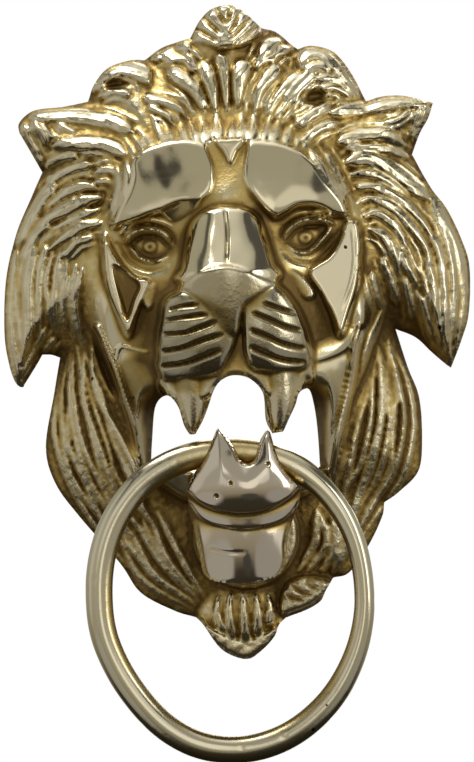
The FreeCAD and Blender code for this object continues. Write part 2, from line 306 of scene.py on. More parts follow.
# ---- outlines of the head ----
HEAD_OUTLINE = [
    [(-8, 82.5), (-5.3, 87.1), (-1.8, 90.4), (3.2, 91.4), (6.9, 89.7)],
    [(12, 84.7), (16.2, 83.4)],
    [(20.5, 79.5)],
    [(22.1, 78.3), (25.8, 79.1), (31, 77.7), (34.3, 74.7), (37.5, 69.6)],
    [(40.7, 62.7), (45, 63.9), (51, 63.9)],
    [(59.5, 61.6), (57.9, 57.2), (55.4, 53.1)],
    [(53, 47.3), (57.9, 37.6), (62.1, 31.5), (65.9, 22.6), (67.8, 14.7), (67, 2.1), (64.7, -5.3)],
    [(61.4, -13.2), (59.4, -11.6), (55.9, -8.3), (51.8, -4.2)],
    [(46.2, -1.6), (49.2, -12.5), (52, -21), (52.4, -32), (51, -41.7), (45.2, -47.5)],
    [(40.9, -50.3), (40.1, -54.4), (35.8, -62.5), (30.2, -69.6)],
    [(25.6, -70.9), (23.3, -74.2), (21.7, -77.2), (17.7, -79.5)],
    [(11.7, -81.5), (9.7, -83.4), (8.2, -86.7), (4.2, -90.6), (0, -92.6), (-6.5, -89.7), (-11.3, -82.7)],
    [(-13.4, -80.4), (-19.6, -78.2), (-28.8, -72.7), (-34.3, -64.1), (-45.2, -50.4), (-51.5, -40.8),
     (-53.7, -30.5), (-50.7, -15.7)],
    [(-48.6, -5.6), (-50.9, -4.7)],
    [(-53.6, -4.5), (-55.4, -7.4)],
    [(-59.7, -13.7), (-61.5, -11.9), (-63, -6.7), (-63.9, 2), (-62.8, 16.9), (-59.4, 29.6),
     (-54.5, 40.2)],
    [(-51.3, 46.8), (-54.5, 53)],
    [(-57.3, 58.3), (-57.2, 61), (-53.1, 64.2), (-45, 64.9)],
    [(-37.6, 66.1), (-35.7, 70.6), (-31.6, 75.2), (-25, 77.2)],
    [(-21.1, 77.1), (-16.2, 80.3), (-12, 81.6)],
]
MOUTH_OUTLINE = [
    [(-24.3, -38), (-23.6, -29.8), (-22.2, -20.4), (-18.7, -17.5), (-15.8, -20.6), (-14.3, -26)],
    [(-12.8, -28.7)],
    [(-11.3, -28.6), (-9.1, -25), (-7.5, -21.4), (-5.4, -16.2), (-2.9, -13.6), (0.5, -12.7), (4.6, -13.9),
     (8, -18), (8.5, -25.5)],
    [(10.1, -29.3)],
    [(13.2, -28.9), (15, -25.3), (16.9, -21.6), (17.9, -18.7), (19.5, -17.4), (21.2, -17.9), (22.4, -23),
     (23, -30)],
    [(23.2, -39.4), (2, -37.6)],
]
FACE_OUTLINE = [
    (-25, 51), (-30, 40), (-34, 30), (-37, 16), (-37.5, 3), (-34, -12), (-29.5, -28), (-26, -44),
    (26, -44), (30, -26), (35, -10), (39, 2), (38, 16), (37, 29), (31, 40), (24, 49), (10, 55),
    (-10, 55),
]


# ---- the face ----
FACE_SKIN = [
    (0, 58, 26), (-14, 57, 25.5), (14, 57, 25.5), (-25, 51, 24.6), (25, 50, 24.6), (-32, 40, 25.6),
    (33, 40, 25.6), (0, 51, 28), (0, 43, 31.2), (0, 37, 34.2), (-12, 45, 30.5), (12, 45, 30.5),
    (-22, 40, 29), (22, 40, 29), (-21.7, 27, 26.5), (21.8, 27, 26.5), (-13.5, 28, 28.5), (13.5, 28, 28.5),
    (-30, 27, 25), (30.5, 27, 25), (-22, 18, 28), (22, 18, 28), (-15, 18, 31), (15.5, 18, 31),
    (-15.5, 10, 33), (15.5, 10, 33), (0, 30, 33), (0, 15, 38), (0, 5, 40), (-24, 5, 28), (24.5, 5, 28),
    (-23, -3, 28), (24.5, -3, 28), (-33, 10, 25), (34, 10, 25), (-38, 15, 21), (39, 15, 21),
    (-37, 0, 21.5), (39, 0, 22), (-30, -10, 24.5), (31, -10, 24.5), (-27, -22, 23), (29, -22, 23),
    (-27, -36, 18), (27, -36, 18), (-37, -15, 17), (38, -15, 17), (0, -10, 38), (-10, -14, 38.5),
    (10, -14, 38.5), (-19, -14, 33), (20, -14, 33), (0, -5, 40), (-47, 30, 18), (48, 30, 18),
    (-47, 10, 17), (48, 10, 17), (-44, -25, 15), (45, -25, 15), (0, -40, 18),
]


def forehead_planes(relief):
    """Two smooth planes from the hairline to the brows, with the recess between them left bare."""

    def top(x, z):
        return FOREHEAD_DEPTH - 7 * np.clip((z - 33) / 23, 0, 1.2) ** 1.5 - 4.8 * (np.abs(x) / 30) ** 2.1

    left = [(-6, 52.8), (-4.4, 50), (-3, 45.5), (-3.2, 40.5), (-5.4, 37.2), (-9.4, 36.2), (-13, 36),
            (-18, 34), (-23, 32.4), (-28, 31), (-32.2, 29.8), (-30.6, 34), (-27.8, 39), (-26, 44),
            (-25.6, 48.8), (-20, 52.6), (-12, 53.9)]
    right = [(7.6, 52.4), (6, 48), (5.3, 43.5), (6.2, 39.6), (8.2, 36.4), (10.8, 33), (13.6, 30.6),
             (16.5, 31.8), (21, 33.9), (26, 33.2), (30, 31.2), (34, 30.4), (33, 34), (28.5, 40.5),
             (25, 45.5), (20, 50), (13, 52.2)]
    relief.form(left, top, fall=0.9)
    relief.form(right, top, fall=0.9)
    # the left brow rolls under towards the eye
    under_brow = [(-6.4, 37.4), (-10, 37), (-14, 36.8), (-18.6, 34.6), (-16.6, 31.6), (-12.6, 29.6),
                  (-9.6, 31.6), (-7.2, 34.6)]
    relief.form(under_brow, lambda x, z: 33.4 - 0.75 * (36.6 - z) + 0.12 * (x + 12), edge=1, fall=0.8)
    # a small leaf stands in the recess, under the hairline
    relief.form([(-2.2, 53), (2, 53.4), (6.2, 53), (3.9, 49.6), (1.7, 46), (-0.4, 49.8)],
                lambda x, z: 30.4 - 0.2 * (z - 50), edge=1, fall=0.6)
    recess = [(-3.5, 52), (-2.6, 44), (-5.4, 36), (1, 34.8), (7.5, 36), (4.4, 43), (6.2, 52), (1.6, 45.6)]
    relief.darken(recess, 0.16, matte=0.5)


def nose(relief):
    """The polished bridge with a line down its middle, and the nose leather below it."""
    bridge = [(-14.2, 13.4), (-12.8, 18), (-11.7, 24), (-10.6, 29.4), (-8.4, 32.2), (-5, 34), (0, 34.5),
              (5, 33.9), (8.2, 32), (9.9, 29.5), (11.2, 24), (12.6, 18), (13.9, 13.4), (0, 6)]

    def bridge_top(x, z):
        half_width = 10.5 + 3.6 * ramp(34 - z, 2, 20)
        return BRIDGE_DEPTH + 0.56 * np.minimum(34 - z, 18) - 7.0 * (np.abs(x) / half_width) ** 2.6

    relief.form(bridge, bridge_top, edge=1.4, fall=1.8)
    relief.groove([(-0.3, 33.8), (0, 26), (-0.6, 18)], 0.5, 0.8, root=0.05, tip=0.1)

    def leather_top(x, z):
        below = np.clip(15.5 - z, 0, None)
        return LEATHER_DEPTH - 6 * (x / 14) ** 2 - 0.009 * below**2

    leather = [
        [(-14.8, 12.2), (-10, 15.6), (-5, 17.4), (-1, 17.9), (4, 16.8), (9, 14.4)],
        [(14, 12.1), (11, 10.2), (7, 8.3), (4.2, 6.6), (2.9, 3.4), (2.2, -0.4)],
        [(0.8, -2.6), (-2.4, -0.6), (-4.6, 2.4), (-6.4, 5.8), (-9.5, 8.7)],
    ]
    relief.form(cornered_path(leather), leather_top, edge=1.6, fall=1.5, smooth=False)
    # the leather is stained and dulled, and painted shade darkens it further
    dulled_and_darkened = [(-13, 12.4), (-5, 16.6), (4, 16.2), (12.4, 12.2), (5, 7.8), (0.4, -0.6), (-6, 6.4)]
    relief.darken(dulled_and_darkened, 0.15, edge=1.2, matte=0.3, shade=0.24)


def muzzle(relief):
    """The two whisker pads, the upper lip under them and the cleft between them."""
    def pad_top(side):
        def top(x, z):
            across, up = np.abs(side * x - 6.5) / 14, np.abs(z - 0.5) / 13
            return PAD_DEPTH - 6.4 * across**2.2 - 3 * up**2.2
        return top

    left_pad = [
        (-18.2, 9.4), (-13, 11.4), (-8, 9.6), (-4, 7), (0.6, 4), (1.7, 0), (0.7, -4.4), (-1.4, -8.4),
        (-3.8, -12.2), (-9, -13.4), (-14, -13.6), (-19.6, -13), (-21.1, -8), (-20.7, -1.5), (-19.6, 3.5),
    ]
    right_pad = [
        (3.6, 7.4), (7.5, 9.6), (13, 12), (17.7, 6.8), (20.5, 0.5), (21.9, -6), (21, -11), (15, -12.8),
        (9, -12.4), (5.2, -11.2), (3.5, -7), (3.4, -1), (3.3, 3.5),
    ]
    relief.form(left_pad, pad_top(-1), edge=1.7)
    relief.form(right_pad, pad_top(1), edge=1.7)
    for lip in (
        [(-20.6, -7), (-21.2, -12), (-20.4, -17.6), (-14, -19.6), (-5, -18.5), (-1.6, -14), (-2.4, -6)],
        [(21.4, -5), (22.4, -12), (21.4, -18), (14, -19.8), (8, -19), (2.6, -14), (3, -6)],
    ):
        relief.form(lip, lambda x, z: UPPER_LIP_DEPTH - 7 * (np.abs(x) / 20) ** 2.2, edge=2, fall=2.2)
    relief.form([(0.4, 6), (3.8, 7), (3.8, -4), (5.4, -12.5), (0.6, -15.4), (-4.6, -13)],
                lambda x, z: 42.6 + 0.05 * z, edge=1.2, fall=0.8)
    cleft = [(2.2, 4), (3.5, 7), (3.5, -5), (5.2, -11.5), (0.6, -14.4), (-4, -12.2), (0.8, -5)]
    relief.darken(cleft, 0.34, edge=0.8)
    # painted shade over the whisker pads, with some stain and dulling: the shade stands in for the dark
    # room they reflect
    relief.darken([(-19, 8), (-8, 9), (0, 4), (1, -4), (-4, -12), (-12, -17), (-20, -12)], 0.22, edge=2,
                  matte=0.25, shade=0.42)
    relief.darken([(4, 7), (12, 11), (20, 1), (21, -10), (14, -17), (5, -11)], 0.20, edge=2, matte=0.25,
                  shade=0.34)
    whisker_grooves = [
        [(-17.2, 6.2), (-13.5, 7), (-9, 7.4)],
        [(-18.6, 3.2), (-12, 4), (-6.6, 4.4)],
        [(-19.4, -0.6), (-13, -0.4), (-8, 1), (-4.2, 2.4)],
        [(-20.2, -5.4), (-14, -4.6), (-8, -2.8), (-2.6, -1.2)],
        [(-20.4, -9.6), (-13, -8.8), (-7, -7), (-3.2, -5.6)],
        [(9.2, 7), (13.4, 5.2), (18.4, 3.6)],
        [(6.2, 4.4), (11, 2), (15, 0.1), (20, -1.4)],
        [(5.2, -0.4), (10, -2.6), (14, -4.6), (20.6, -6.4)],
        [(5, -5.2), (10, -7.7), (14, -9.2), (20.2, -10.2)],
    ]
    for points in whisker_grooves:
        relief.groove(points, 0.75, 1.2, root=0.06, tip=0.12)
        part, side, _ = relief.beside(points, 0.7)
        relief.stain[part] += 0.55 * np.clip(1 - (side / 0.7) ** 2, 0, 1)


def upper_fangs(relief):
    """The two fangs hang over the open mouth, so their outlines run down to their tips."""
    def top(x, z):
        lean = np.where(x < 0, x + 11.4, x - 12.6)
        return FANG_DEPTH - 0.014 * (z + 14) ** 2 - 0.15 * lean**2

    left = [(-17.6, -11.5), (-16.6, -20.4), (-15, -26), (-13.2, -29.4), (-12, -29.8), (-10.4, -28.8),
            (-8.2, -24), (-6, -18.5), (-4.6, -11.5)]
    right = [(6.8, -11.5), (7.8, -22), (8.5, -28), (10, -30.6), (13.4, -30.1), (15.6, -25.6),
             (17.8, -20.5), (19.4, -11.5)]
    for outline, middle in ((left, -12), (right, 13)):
        relief.form(outline, top, edge=2.6, fall=3)
        dulled_and_darkened = [(middle - 4, -16), (middle + 4, -16), (middle + 2, -25), (middle, -31), (middle - 2, -25)]
        relief.darken(dulled_and_darkened, 0.16, matte=0.35)


def cheeks(relief):
    """The flat cheek facets, the ridges that run down beside the mouth and the gap behind them."""
    left = [(-34.4, 29), (-32.6, 24.5), (-29.6, 19.4), (-26, 16), (-22.2, 14.6), (-23.8, 10.5),
            (-26.4, 4.5), (-28.8, -0.9), (-31.3, 4.5), (-33.9, 12), (-35, 20)]
    relief.form(left, lambda x, z: 29.6 + 0.20 * (x + 29) - 0.10 * (z - 12), edge=0.8, fall=0.9)
    left_hole = [(-32.2, 19.5), (-25.2, 14.4), (-26.6, 9.5), (-28.9, 3.8), (-30.6, 9.5)]
    relief.hollow(left_hole, 27.2, edge=0.7)
    relief.darken(left_hole, 0.6, edge=0.7)
    right = [(36.6, 28.4), (33.2, 29), (31.4, 24), (28, 19.3), (22.4, 15.4), (25.2, 9.4), (28, 3),
             (30.3, -3.6), (33.5, 4), (36.2, 12), (37.2, 20)]
    relief.form(right, lambda x, z: 29.8 - 0.16 * (x - 30) - 0.16 * (z - 12), edge=0.8, fall=0.9)
    relief.groove([(34.9, 28), (35.2, 19), (33.8, 11.5), (30, 3)], 0.4, 0.4)
    # a fold under each eye
    left_fold = [(-23.6, 13.5), (-20.6, 13.6), (-20.8, 9.5), (-22.6, 6.4), (-24.6, 9.5)]
    right_fold = [(17, 16), (20.5, 14), (23.6, 9.5), (22.2, 7.4), (19.4, 9.2), (17, 13)]
    relief.form(left_fold, 30.2, edge=1, fall=0.5)
    relief.form(right_fold, 31, edge=1, fall=0.5)
    # the recesses between the facets and the muzzle are stained gold
    relief.darken([(-22, 14), (-16, 14), (-19.8, 2), (-21.8, -8), (-30, -4), (-26, 5)], 0.2, matte=0.5)
    relief.darken([(22, 14), (15.6, 14), (20.8, 2), (22.6, -6), (31, -4), (27, 5)], 0.2, matte=0.5)
    # ridges down to the mouth's corners
    ridges = [      # each line, half its width, its height and lift, and how much of each end tapers
        ([(-38.2, 3.6), (-35.6, -3.5), (-33.3, -9.5), (-31, -17.5), (-28.2, -26), (-25.6, -37)],
         1.2, 2.0, 1.0, 0.03, 0.1),
        ([(-33.2, -8.6), (-31.6, -3.6), (-29, -3.6), (-25.5, -4.6), (-22.2, -5)], 0.6, 0.5, 0.2, 0.1, 0.1),
        ([(36, 0), (34.6, -6), (33.6, -14), (31.2, -23), (28, -33), (25.8, -43)], 1.4, 2.2, 1.0, 0.1, 0.1),
        ([(21.4, -7.4), (25, -6.8), (30, -5), (35.4, -1.2)], 3.0, 1.1, 0.1, 0.1, 0.15),
        ([(43.6, 7), (41.4, 0), (38.6, -6), (35.8, -14), (33.8, -20)], 1.4, 2.0, 0.8, 0.3, 0.4),
    ]
    for ridge in ridges:
        relief.lock(*ridge)
    left_gap = [(-38.8, 2), (-36.4, -3), (-34, -9), (-32, -17), (-34.2, -16.6), (-37.2, -10.5),
                (-38.8, -4)]
    relief.hollow(left_gap, 12, edge=1.4)
    relief.darken(left_gap, 0.5, edge=0.8)
    # the metal beside the mouth's corners is stained and dulled, and painted shade darkens it further
    left_corner = [(-31, -7), (-21.4, -8), (-21.4, -18), (-22.6, -28), (-24.4, -42), (-26.8, -36),
                   (-29, -26), (-32, -17)]
    relief.darken(left_corner, 0.4, matte=0.2, shade=0.35)
    right_corner = [(24, -14), (22, -19), (23.2, -28), (24, -42), (27, -36), (29.4, -25), (28, -16)]
    relief.darken(right_corner, 0.36, matte=0.2, shade=0.25)


def eyes(relief):
    """Sunk eyeballs with an iris and pupil marked in them, between folded lids."""
    iris_radius = 2.0
    for x, z in ((-21.7, 24.6), (21.8, 25.2)):
        relief.bump((x, z), (8.8, 6.6), -2.4)
        relief.bump((x, z), (5.6, 3.9), 2.7)
        iris_z = z - 0.4
        iris = [(x + iris_radius * math.cos(turn), iris_z + iris_radius * math.sin(turn))
                for turn in np.linspace(0, 2 * math.pi, 10)]
        relief.groove(iris, 0.45, 0.4, root=0, tip=0)
        relief.bump((x, iris_z), (1, 1), -0.35)
        out = np.hypot(relief.x - x, relief.z - iris_z)
        relief.stain += 0.3 * np.exp(-(((out - iris_radius) / 0.5) ** 2))
        relief.stain += 0.5 * np.exp(-((out / 0.8) ** 2))
        relief.darken([(x - 9, z + 1), (x, z + 6), (x + 9, z + 1), (x, z - 6)], 0.1, edge=3, matte=0.6)
    lids = [        # each line, half its width and its height
        ([(-28.8, 25.6), (-26, 28.2), (-21.8, 29), (-17.8, 27.6), (-15, 23.8)], 1.1, 2.28),
        ([(-27.4, 24.6), (-24.8, 21.4), (-21.4, 20), (-17.8, 20.6), (-15.6, 22.8)], 0.7, 1.44),
        ([(-30, 28.2), (-26, 31), (-20.4, 31.6), (-15.6, 29.6), (-13.2, 26)], 0.8, 0.96),
        ([(15.2, 24), (17.6, 27.4), (21, 29.4), (25.4, 29.8), (30, 28.4)], 1.1, 2.28),
        ([(15.8, 23.6), (18.6, 21.2), (21.8, 20.6), (25.4, 23), (29.4, 27.6)], 0.7, 1.44),
        ([(14, 27), (16.6, 30), (20.8, 31.8), (26, 31.8), (31.6, 30.2)], 0.8, 0.84),
    ]
    for points, half_width, height in lids:
        relief.lock(points, half_width, height, lift=1, root=0.15, tip=0.2, level=EYE_DEPTH)
    for points in (
        [(-26.6, 26), (-23.4, 27.4), (-19.2, 27.2), (-16.4, 24.2)],
        [(16.2, 25), (19.4, 27.2), (23.4, 28), (27.6, 28)],
        [(-31, 26), (-27.6, 20.4), (-22.6, 17.8), (-16.6, 18.6)],
        [(15.4, 21.4), (18.6, 18.6), (23, 18), (27.4, 21.4), (31.6, 27)],
    ):
        relief.groove(points, 0.8, 0.9)


# ---- the mane ----
# Each lock: its line from root to tip, half its width, and how much of its root and tip tapers.
ROUND_END = (0.9, 0)
BAND = (0.12, 0.15)
POINTED = (0.25, 0.5)
BLUNT_ROOT = (0, 0.3)
LEAF = (0.5, 0.4)
TOP_LOCKS = [
    ([(-1.8, 61.5), (-2.6, 68), (-4, 73.6)], 2.5, ROUND_END),
    ([(1.5, 61.5), (1.2, 69), (0.4, 76.2)], 1.9, ROUND_END),
    ([(4.6, 62.5), (5.2, 69), (6.4, 73.6)], 2.8, ROUND_END),
    ([(9.3, 60.5), (11, 67), (15.2, 72.2)], 2.3, ROUND_END),
    ([(12.6, 60), (16, 65.5), (21, 70.6)], 1.6, ROUND_END),
    ([(15, 58.6), (19, 63.5), (23.4, 68)], 1.3, ROUND_END),
    ([(-5, 62), (-7.6, 68), (-12.6, 72.6)], 2.7, ROUND_END),
    ([(-3.6, 62), (-5.4, 66.5), (-7.2, 71)], 1.1, ROUND_END),
    ([(-6.2, 73), (-10, 77), (-16.5, 77.4)], 1.9, BAND),
    ([(-7.6, 79.2), (-12, 79.8), (-19.6, 77)], 1.6, BAND),
    ([(-9.2, 59.6), (-13, 63.6), (-20.4, 66.2)], 1.7, ROUND_END),
    ([(-13.2, 57.8), (-15.6, 61), (-19.6, 63.4)], 1.3, ROUND_END),
    ([(-36, 68.6), (-33, 72.8), (-27.4, 75), (-22.4, 73.6), (-19.8, 69.8)], 2.7, BAND),
    ([(-34.5, 67.2), (-30, 68.6), (-25, 67.2)], 1.4, BAND),
    ([(10.8, 74.6), (13.2, 78.4), (17.4, 81.6)], 2.6, LEAF),
    ([(14.2, 75.6), (17.8, 78), (21.4, 78.6)], 1.8, LEAF),
    ([(9.6, 73), (12.4, 75.2), (17, 76)], 1.1, BAND),
    ([(22.6, 72.4), (24.2, 76.4), (28.8, 76.6), (33.4, 72.4), (36, 68), (38.6, 63.6)], 2.4, BAND),
    ([(23.6, 72), (27.6, 73.6), (31.8, 71.4)], 1.3, BAND),
    ([(26.6, 69.4), (31.6, 69.6), (36.4, 66.6)], 1.3, BAND),
    ([(28, 66.6), (32.4, 66.8), (37.6, 63.8)], 1.3, BAND),
    ([(17.4, 63.5), (20.5, 67.6), (25.4, 72.4)], 1.2, BAND),
    ([(20, 62.6), (22.4, 66.8), (27, 70.6)], 1.2, BAND),
    ([(20, 56.6), (24.6, 58.6), (30.6, 62.4)], 2.0, BAND),
    ([(22, 52), (27.4, 55.4), (33, 57)], 1.6, BAND),
]
EAR_LOCKS = [
    ([(-25, 56.6), (-31, 59.8), (-38, 61.6), (-47, 63), (-54.4, 62.4)], 2.5, BAND),
    ([(-27.4, 50.4), (-33, 53.6), (-41, 54.4), (-48.6, 53.8)], 2.3, BAND),
    ([(-56.2, 60.6), (-55.4, 57), (-53, 52), (-51.4, 47.6)], 1.5, BAND),
    ([(-53.4, 61.6), (-51, 58), (-49.2, 54)], 1.0, BAND),
    ([(-46.6, 60.6), (-43.8, 58.8), (-41, 57)], 1.0, BAND),
    ([(-41, 50.6), (-46, 50.4), (-50.6, 48)], 1.6, BAND),
    ([(30, 59.4), (36, 60.4), (44, 61.4), (52, 62.4), (58.4, 61.2)], 2.3, BAND),
    ([(31.6, 51), (38, 53.2), (45, 53), (51.6, 49.6)], 2.2, BAND),
    ([(58.2, 60.4), (56, 55.5), (53.4, 50.4)], 1.5, BAND),
    ([(45, 56.4), (49.4, 57.2), (53, 60)], 1.0, BAND),
    ([(34, 49.8), (41, 49.4), (47, 48.4), (52.2, 46.4)], 1.7, BAND),
]
LEFT_LOCKS = [
    ([(-27.6, 48.4), (-27.8, 42), (-29.6, 36), (-33, 31)], 1.4, BAND),
    ([(-30.6, 47.6), (-30.4, 41), (-32.6, 34)], 1.2, BAND),
    ([(-30.4, 45.2), (-33.4, 46.6), (-37, 45.4)], 1.4, BLUNT_ROOT),
    ([(-31, 42.6), (-34, 43.3), (-37.4, 42.8)], 1.1, BLUNT_ROOT),
    ([(-37, 48.4), (-41.6, 47.4), (-46, 46.2), (-50.6, 43.4)], 1.6, BAND),
    ([(-36, 41.4), (-40.4, 42.4), (-45, 40.6), (-51.4, 36)], 1.9, POINTED),
    ([(-34.4, 38.8), (-40, 38), (-47, 35.2), (-56, 30.2)], 2.3, POINTED),
    ([(-35.4, 35.4), (-39.6, 34.4), (-44, 32.6), (-49.4, 30.2)], 1.5, POINTED),
    ([(-34.8, 31.6), (-40, 31), (-45, 28.6), (-51.4, 24)], 1.8, POINTED),
    ([(-37.4, 27.8), (-42, 26.6), (-44.6, 24.2), (-47.4, 22.4)], 1.4, BAND),
    ([(-47.6, 44), (-51.4, 39.4), (-55.6, 33.4), (-59.6, 26)], 2.1, BAND),
    ([(-49.6, 33), (-54.4, 28.6), (-58.4, 21)], 1.8, BAND),
    ([(-59.4, 25.4), (-62.2, 14), (-62.4, 2), (-61, -9), (-60, -12.6)], 2.0, BAND),
    ([(-57.4, 24), (-60, 14), (-60, 4), (-59.6, -4)], 1.4, BAND),
    ([(-54.4, 27), (-56.6, 18), (-56.8, 8), (-57.6, 0), (-59.6, -8)], 2.1, BAND),
    ([(-51, 26), (-53.5, 17), (-53.8, 8), (-54.4, 1)], 1.4, BAND),
    ([(-52, 3), (-55.4, -3.6), (-60, -11)], 1.2, BAND),
    ([(-49.6, 0), (-52, -3), (-55.6, -7)], 1.1, BAND),
]
RIGHT_LOCKS = [
    ([(24.6, 49.6), (27.4, 45), (31.4, 38), (33.6, 33)], 1.5, BAND),
    ([(28.6, 49), (31.4, 43.6), (34.4, 36)], 1.3, BAND),
    ([(33.4, 45.6), (40, 46.4), (47, 43.4), (53.6, 37.8), (57.8, 34)], 2.5, BAND),
    ([(34.6, 42), (40.6, 42.4), (47, 39.2), (53, 33.4)], 1.7, POINTED),
    ([(36, 38.2), (42, 38.4), (49, 34.6), (55, 28), (59, 21)], 1.8, POINTED),
    ([(36.8, 34.2), (41, 35.2), (46.6, 32.4), (51.6, 27), (55.6, 20.6), (57, 14)], 1.8, POINTED),
    ([(38.2, 30.4), (43, 30.8), (47.6, 26.6), (50.6, 20)], 1.8, POINTED),
    ([(39.6, 26.8), (43.6, 24.6), (46.6, 19.6), (47.6, 12.6)], 1.9, POINTED),
    ([(42.6, 18.6), (45.2, 12), (46.6, 5)], 1.5, BAND),
    ([(40, 15), (41.4, 9), (43.4, 3)], 1.3, BAND),
    ([(48.4, 21), (50, 15.5), (53.4, 9)], 1.5, POINTED),
    ([(49, 13), (50, 7), (51, 1)], 1.4, BAND),
    ([(56, 40), (60.4, 31), (64.6, 21), (66.2, 10), (65.6, 0), (62.4, -10)], 1.8, BAND),
    ([(57.6, 33), (61, 26.4), (63, 17), (63.2, 6), (62, -6)], 1.6, BAND),
    ([(56.8, 25), (59.6, 19), (60.4, 9), (60.4, -2), (61, -10.5)], 1.5, BAND),
    ([(55.6, 18), (57.4, 10), (57.6, 1), (58.8, -7)], 1.4, BAND),
    ([(53, 8), (54.8, 1), (56.4, -5)], 1.3, BAND),
]
# Fans of strands: a line down each side, and how many strands lie between.
STRAND_FANS = [
    ([(-50.6, 24), (-51.6, 14), (-51.4, 3)], [(-40.4, 20), (-41.6, 9), (-42.4, -3)], 6),
    ([(-48, -5), (-50.2, -16), (-52.2, -30), (-48.6, -43), (-40.6, -55), (-32, -65)],
     [(-39.5, -4), (-37, -16), (-31.5, -28), (-28, -38), (-25, -47), (-20, -57)], 10),
    ([(45.4, -4), (48.8, -15), (51, -29), (47.4, -43), (39.6, -53), (33, -62)],
     [(38, -6), (36, -17), (31.4, -27), (28, -38), (27, -46), (28, -56)], 9),
    ([(-36, -58), (-28.4, -70.6), (-15, -78.6)], [(-22, -48), (-17, -61), (-10, -74)], 7),
    ([(32, -56), (30, -64), (26, -69.6)], [(20, -50), (20.6, -60), (15, -69)], 5),
]
CHIN_LOCKS = [
    ([(-7, -74), (-7.6, -79), (-6.8, -84)], 1.5),
    ([(-3.6, -73.5), (-4.2, -79), (-3.8, -85.6)], 1.7),
    ([(0, -73), (0, -79), (0.2, -86.8)], 1.7),
    ([(3.6, -73.5), (4, -79), (3.8, -85)], 1.7),
    ([(6.8, -74), (7.6, -78), (7.2, -82)], 1.5),
]


def palmette(relief):
    """The ribbed leaf that stands up at the top of the mane."""
    leaf = [(-7.6, 81.4), (-5.8, 86.6), (-1.8, 90.8), (3.2, 92), (7.4, 89.8), (12.4, 84.6), (8.6, 80.4),
            (4, 79.2), (0, 79), (-4, 80.4)]
    relief.form(leaf, lambda x, z: 16.4 - 0.42 * (z - 79) - 0.04 * (x - 2) ** 2, edge=2.2, fall=2.4)
    for points in (
        [(2, 86), (0.8, 88.4), (-0.8, 91.6)],
        [(2.4, 86), (3.2, 88.4), (3.9, 92)],
        [(0.8, 83.2), (-2, 86), (-5, 89.6)],
        [(0, 81), (-3.6, 83.4), (-7.4, 86)],
        [(3, 83.2), (4.8, 86), (6.8, 90.6)],
        [(3, 81.4), (6, 84.4), (9.8, 88.2)],
        [(4.4, 80), (7.4, 82), (11.2, 85.2)],
    ):
        relief.groove(points, 0.8, 1.5, root=0.15, tip=0)


def side_lobe(relief):
    """The small lobe beside the tuft under the chin."""
    lobe = [(10.4, -80.2), (14.5, -80), (19.6, -78.2), (23.4, -75), (24.8, -72), (21, -70.4),
            (15.5, -70.2), (11.5, -73)]
    relief.form(lobe, lambda x, z: 12.6 + 0.1 * (x - 12), edge=2.2, fall=2.4)
    for points in (
        [(11.5, -74.5), (14, -76), (17.5, -76.5)],
        [(13, -71.6), (16.4, -74.4), (19.4, -75)],
        [(17, -70.8), (19.4, -73), (21.6, -73.6)],
    ):
        relief.groove(points, 0.8, 1.4)


def strand_fan(relief, first, last, count):
    """Wavy strands side by side between two lines."""
    first, last = np.array(first, float), np.array(last, float)
    spacing = np.mean(np.hypot(*(last - first).T)) / count
    for number in range(count):
        share = (number + 0.5) / count
        line = first + share * (last - first) + rng.normal(0, 0.7, first.shape)
        lift = rng.uniform(0.1, 0.9)
        half_width = spacing * rng.uniform(0.5, 0.72)
        relief.lock(line, half_width, rng.uniform(0.8, 1.5), lift, tip=0.3)
        # two shorter strands lie on it, each from somewhere down its length
        whole = smooth_path(line)
        for _ in range(2):
            rest = whole[int(rng.uniform(0, 0.6) * (len(whole) - 1)):]
            sideways = (rng.uniform(-0.5, 0.5) * spacing, 0)
            branch = rest[:max(6, len(rest) // 2)] + sideways
            relief.lock(branch, 0.42 * half_width, rng.uniform(0.5, 1), lift + 0.5, root=0.3)


def hairline(relief):
    """Short strands of uneven length that rise from the forehead's upper edge."""
    for place in range(-25, 26, 3):
        x = place + rng.uniform(-0.7, 0.7)
        z = 53.6 - 0.0042 * x**2
        reach = rng.uniform(5, 9)
        strand = [(x, z - 1.5), (1.1 * x, z + 0.4 * reach), (1.26 * x + rng.uniform(-0.6, 0.6), z + reach)]
        relief.lock(strand, rng.uniform(1.1, 1.7), rng.uniform(0.6, 1.1), lift=0.4, root=0.3)


def side_strands(relief, points, half_width):
    """Thin strands along both sides of a lock, which fill the metal between the locks."""
    line = smooth_path(points, pieces=4)
    heading = np.gradient(line, axis=0)
    heading /= np.hypot(*heading.T)[:, None] + 1e-9
    across = np.c_[heading[:, 1], -heading[:, 0]]
    for side in (-1, 1):
        offset = half_width + rng.uniform(0.5, 0.9)
        relief.lock(line + side * offset * across, rng.uniform(0.7, 1), rng.uniform(0.8, 1.3), lift=0.2)


def chin_tuft(relief):
    """The ribbed tuft under the chin, and the bright band that closes its foot."""
    for points, half_width in CHIN_LOCKS:
        relief.lock(points, half_width, half_width, 0.5, *ROUND_END)
    band = [(-13, -80.4), (-9.6, -86.4), (-5, -90.6), (0, -92.8), (4.4, -90.8), (8.4, -87), (11.2, -81.6),
            (7, -84.6), (0, -87), (-7.5, -84.2)]
    relief.form(band, lambda x, z: 11.6 + 0.10 * (z + 86), edge=1.3, fall=1.2)
    # painted reflection: a negative stain makes the band's colour lighter, standing in for a pale light it
    # reflects
    relief.darken([(-10, -83), (0, -88.4), (9, -83.4), (4, -89.6), (-4, -90.4)], -0.15)


